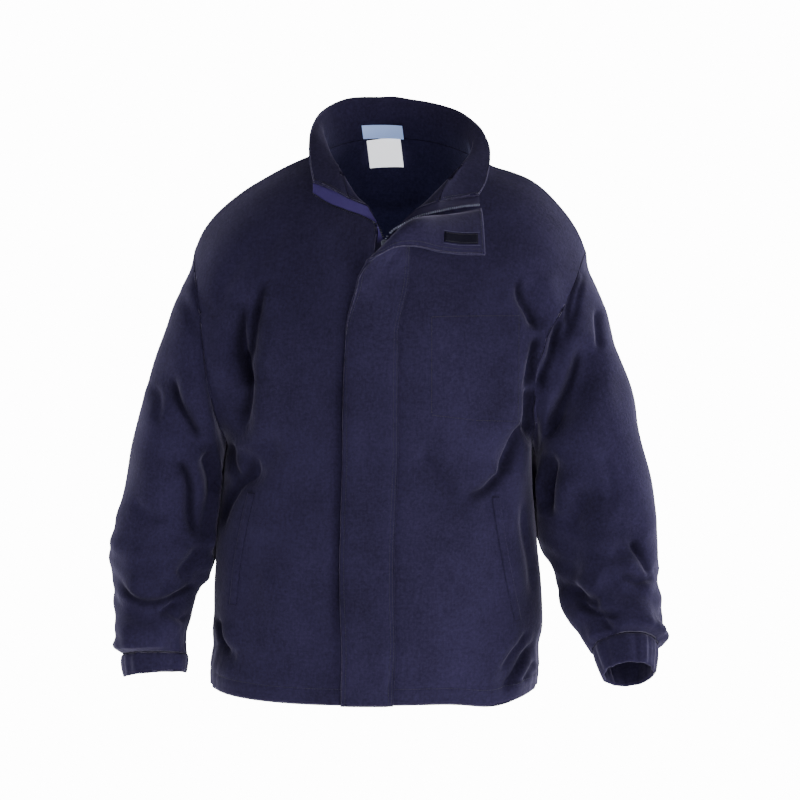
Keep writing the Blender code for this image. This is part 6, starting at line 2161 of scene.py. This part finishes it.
class JacketCloth(bpy.types.PropertyGroup):
    """How the cloth is divided and how unevenly it hangs."""

    fineness: IntProperty(name="Fineness", description="Steps between the pattern's sections",
                          default=8, min=2, max=10)
    ripple: FloatProperty(name="Ripple height", description="How far the cloth waves in and out",
                          default=2.6 * MM, min=0.0, max=6 * MM, unit="LENGTH", precision=4)


class JacketTrim(bpy.types.PropertyGroup):
    """Sizes of the sewing."""

    stitch_length: FloatProperty(name="Stitch length", description="Length of the thread that shows",
                                 default=2.7 * MM, min=0.5 * MM, max=8 * MM, unit="LENGTH", precision=4)
    stitch_pitch: FloatProperty(name="Stitch pitch", description="From one stitch to the next",
                                default=3.4 * MM, min=1 * MM, max=12 * MM, unit="LENGTH", precision=4)
    stitch_width: FloatProperty(name="Thread width", description="Thickness of the sewing thread",
                                default=0.65 * MM, min=0.2 * MM, max=2 * MM, unit="LENGTH", precision=4)


def colour_property(name, description, colour):
    """A colour setting given by its sRGB value."""
    return FloatVectorProperty(name=name, description=description, subtype="COLOR", size=3,
                               default=linear(colour), min=0.0, max=1.0)


class JacketColours(bpy.types.PropertyGroup):
    """Colours of the cloth, the trim and the metal."""

    fleece: colour_property("Fleece", "Navy of the fleece", (34, 30, 53))
    nap: FloatProperty(name="Nap", description="How strongly the brushed pile catches light",
                       default=0.24, min=0.0, max=1.0, subtype="FACTOR")
    blue_tape: colour_property("Blue tape", "Tape inside the right front edge", (64, 53, 108))
    navy_tape: colour_property("Navy tape", "Tape of the left front edge", (34, 29, 54))
    metal: colour_property("Zip metal", "Teeth, slider and pull", (74, 76, 88))
    hooks: colour_property("Hook tape", "Patch on the flap's corner", (13, 12, 24))
    neck_label: colour_property("Neck label", "Woven label in the collar", (168, 194, 252))
    care_label: colour_property("Care label", "Soft label below the neck seam", (250, 250, 255))
    thread: colour_property("Thread", "Navy sewing thread", (15, 14, 32))
    pale_thread: colour_property("Pale thread", "Thread round the hook patch", (66, 64, 96))


class JacketStudio(bpy.types.PropertyGroup):
    """The floor and the light."""

    floor_height: FloatProperty(name="Floor height", description="Height of the floor",
                                default=-1.45, unit="LENGTH")
    floor_radius: FloatProperty(name="Floor radius", description="How far the floor reaches",
                                default=40.0, min=1.0, unit="LENGTH")
    surround: FloatProperty(name="Surround", description="How much the white surround lights the cloth",
                            default=0.98, min=0.0, max=10.0)
    backdrop: FloatProperty(name="Backdrop", description="How bright the backdrop looks",
                            default=14.0, min=0.0, max=40.0)
    key_watts: FloatProperty(name="Key light", description="Power of the main soft light",
                             default=100.0, min=0.0, max=5000.0)
    hollow_watts: FloatProperty(name="Hollow light", description="Power of the light in the hollow",
                                default=0.8, min=0.0, max=100.0)


# ---------------------------------------------------------------- operators


class JACKET_OT_fronts(bpy.types.Operator):
    """Builds both fronts of the jacket"""

    bl_idname = "jacket.fronts"
    bl_label = "Fronts"

    def execute(self, context):
        right = build_panel(context, "right_front_cloth", "front_right", "front_right",
                            {"bottom": OPEN_ROUND, "last": 0.7})
        left = build_panel(context, "left_front_cloth", "front_left", "front_left",
                           {"bottom": OPEN_ROUND, "first": 0.7})
        declare(right, CUTS["right_front_cloth"])
        declare(left, CUTS["left_front_cloth"])
        return {"FINISHED"}


class JACKET_OT_back(bpy.types.Operator):
    """Builds the back of the jacket"""

    bl_idname = "jacket.back"
    bl_label = "Back"

    def execute(self, context):
        back = build_panel(context, "back_cloth", "back", "back", {"bottom": OPEN_ROUND})
        declare(back, CUTS["back_cloth"])
        return {"FINISHED"}


class JACKET_OT_sleeves(bpy.types.Operator):
    """Builds both sleeves"""

    bl_idname = "jacket.sleeves"
    bl_label = "Sleeves"

    def execute(self, context):
        right = build_sleeve(context, "right_sleeve_cloth", "sleeve_right", "sleeve_right", "bottom")
        left = build_sleeve(context, "left_sleeve_cloth", "sleeve_left", "sleeve_left", "top")
        declare(right, CUTS["right_sleeve_cloth"])
        declare(left, CUTS["left_sleeve_cloth"])
        return {"FINISHED"}


class JACKET_OT_collar(bpy.types.Operator):
    """Builds the stand-up collar, spread open"""

    bl_idname = "jacket.collar"
    bl_label = "Collar"

    def execute(self, context):
        declare(build_collar(context), CUTS["collar_cloth"])
        return {"FINISHED"}


class JACKET_OT_cuffs(bpy.types.Operator):
    """Builds the elasticated cuffs"""

    bl_idname = "jacket.cuffs"
    bl_label = "Cuffs"

    def execute(self, context):
        right = build_cuff(context, "right_cuff_cloth", "cuff_right", "sleeve_right")
        left = build_cuff(context, "left_cuff_cloth", "cuff_left", "sleeve_left")
        declare(right, CUTS["right_cuff_cloth"])
        declare(left, CUTS["left_cuff_cloth"])
        return {"FINISHED"}


class JACKET_OT_flap(bpy.types.Operator):
    """Builds the storm flap and its hook patch"""

    bl_idname = "jacket.flap"
    bl_label = "Storm flap"

    def execute(self, context):
        flap = build_flap(context)
        patch_piece = build_patch(context)
        declare(flap, CUTS["storm_flap_cloth"])
        return {"FINISHED"}


class JACKET_OT_zip(bpy.types.Operator):
    """Builds the zip's tapes and teeth"""

    bl_idname = "jacket.zip"
    bl_label = "Zip"

    def execute(self, context):
        tapes = build_zip(context)[:2]
        for tape, front in zip(tapes, ("front_right", "front_left")):
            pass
        return {"FINISHED"}


class JACKET_OT_slider(bpy.types.Operator):
    """Builds the slider and its hinged pull tab"""

    bl_idname = "jacket.slider"
    bl_label = "Slider and pull"

    def execute(self, context):
        build_slider(context)
        build_pull(context)
        return {"FINISHED"}


class JACKET_OT_pockets(bpy.types.Operator):
    """Builds the welts of the side pockets"""

    bl_idname = "jacket.pockets"
    bl_label = "Pocket welts"

    def execute(self, context):
        right = build_welt(context, "right_welt_cloth", "welt_right", "front_right", RIGHT_POCKET)
        left = build_welt(context, "left_welt_cloth", "welt_left", "front_left", LEFT_POCKET)
        return {"FINISHED"}


class JACKET_OT_labels(bpy.types.Operator):
    """Builds the two blank labels inside the neck"""

    bl_idname = "jacket.labels"
    bl_label = "Labels"

    def execute(self, context):
        neck, care = build_labels(context)
        return {"FINISHED"}


class JACKET_OT_stitching(bpy.types.Operator):
    """Builds every visible line of stitches"""

    bl_idname = "jacket.stitching"
    bl_label = "Stitching"

    def execute(self, context):
        build_stitching(context)
        return {"FINISHED"}


class JACKET_OT_stage(bpy.types.Operator):
    """Builds the floor, the light and the camera"""

    bl_idname = "jacket.stage"
    bl_label = "Studio"

    def execute(self, context):
        build_stage(context)
        return {"FINISHED"}


PIECES = (JACKET_OT_fronts, JACKET_OT_back, JACKET_OT_sleeves, JACKET_OT_collar, JACKET_OT_cuffs,
          JACKET_OT_flap, JACKET_OT_zip, JACKET_OT_slider, JACKET_OT_pockets, JACKET_OT_labels,
          JACKET_OT_stitching, JACKET_OT_stage)
SETTINGS = (("jacket_cloth", JacketCloth), ("jacket_trim", JacketTrim),
            ("jacket_colours", JacketColours), ("jacket_studio", JacketStudio))


class JACKET_PT_pieces(bpy.types.Panel):
    """Lists the jacket's settings and the pieces that can be built"""

    bl_label = "Fleece Zip Jacket"
    bl_idname = "JACKET_PT_pieces"
    bl_space_type = "VIEW_3D"
    bl_region_type = "UI"
    bl_category = "Jacket"

    def draw(self, context):
        for attribute, group in SETTINGS:
            box = self.layout.box()
            for key in group.__annotations__:
                box.prop(getattr(context.scene, attribute), key)
        for piece in PIECES:
            self.layout.operator(piece.bl_idname)


def register():
    for attribute, group in SETTINGS:
        bpy.utils.register_class(group)
        setattr(bpy.types.Scene, attribute, PointerProperty(type=group))
    for piece in (*PIECES, JACKET_PT_pieces):
        bpy.utils.register_class(piece)


def unregister():
    for piece in (JACKET_PT_pieces, *PIECES[::-1]):
        bpy.utils.unregister_class(piece)
    for attribute, group in SETTINGS[::-1]:
        delattr(bpy.types.Scene, attribute)
        bpy.utils.unregister_class(group)


def main():
    register()
    for piece in PIECES:
        family, name = piece.bl_idname.split(".")
        getattr(getattr(bpy.ops, family), name)()


if __name__ == "__main__":
    main()
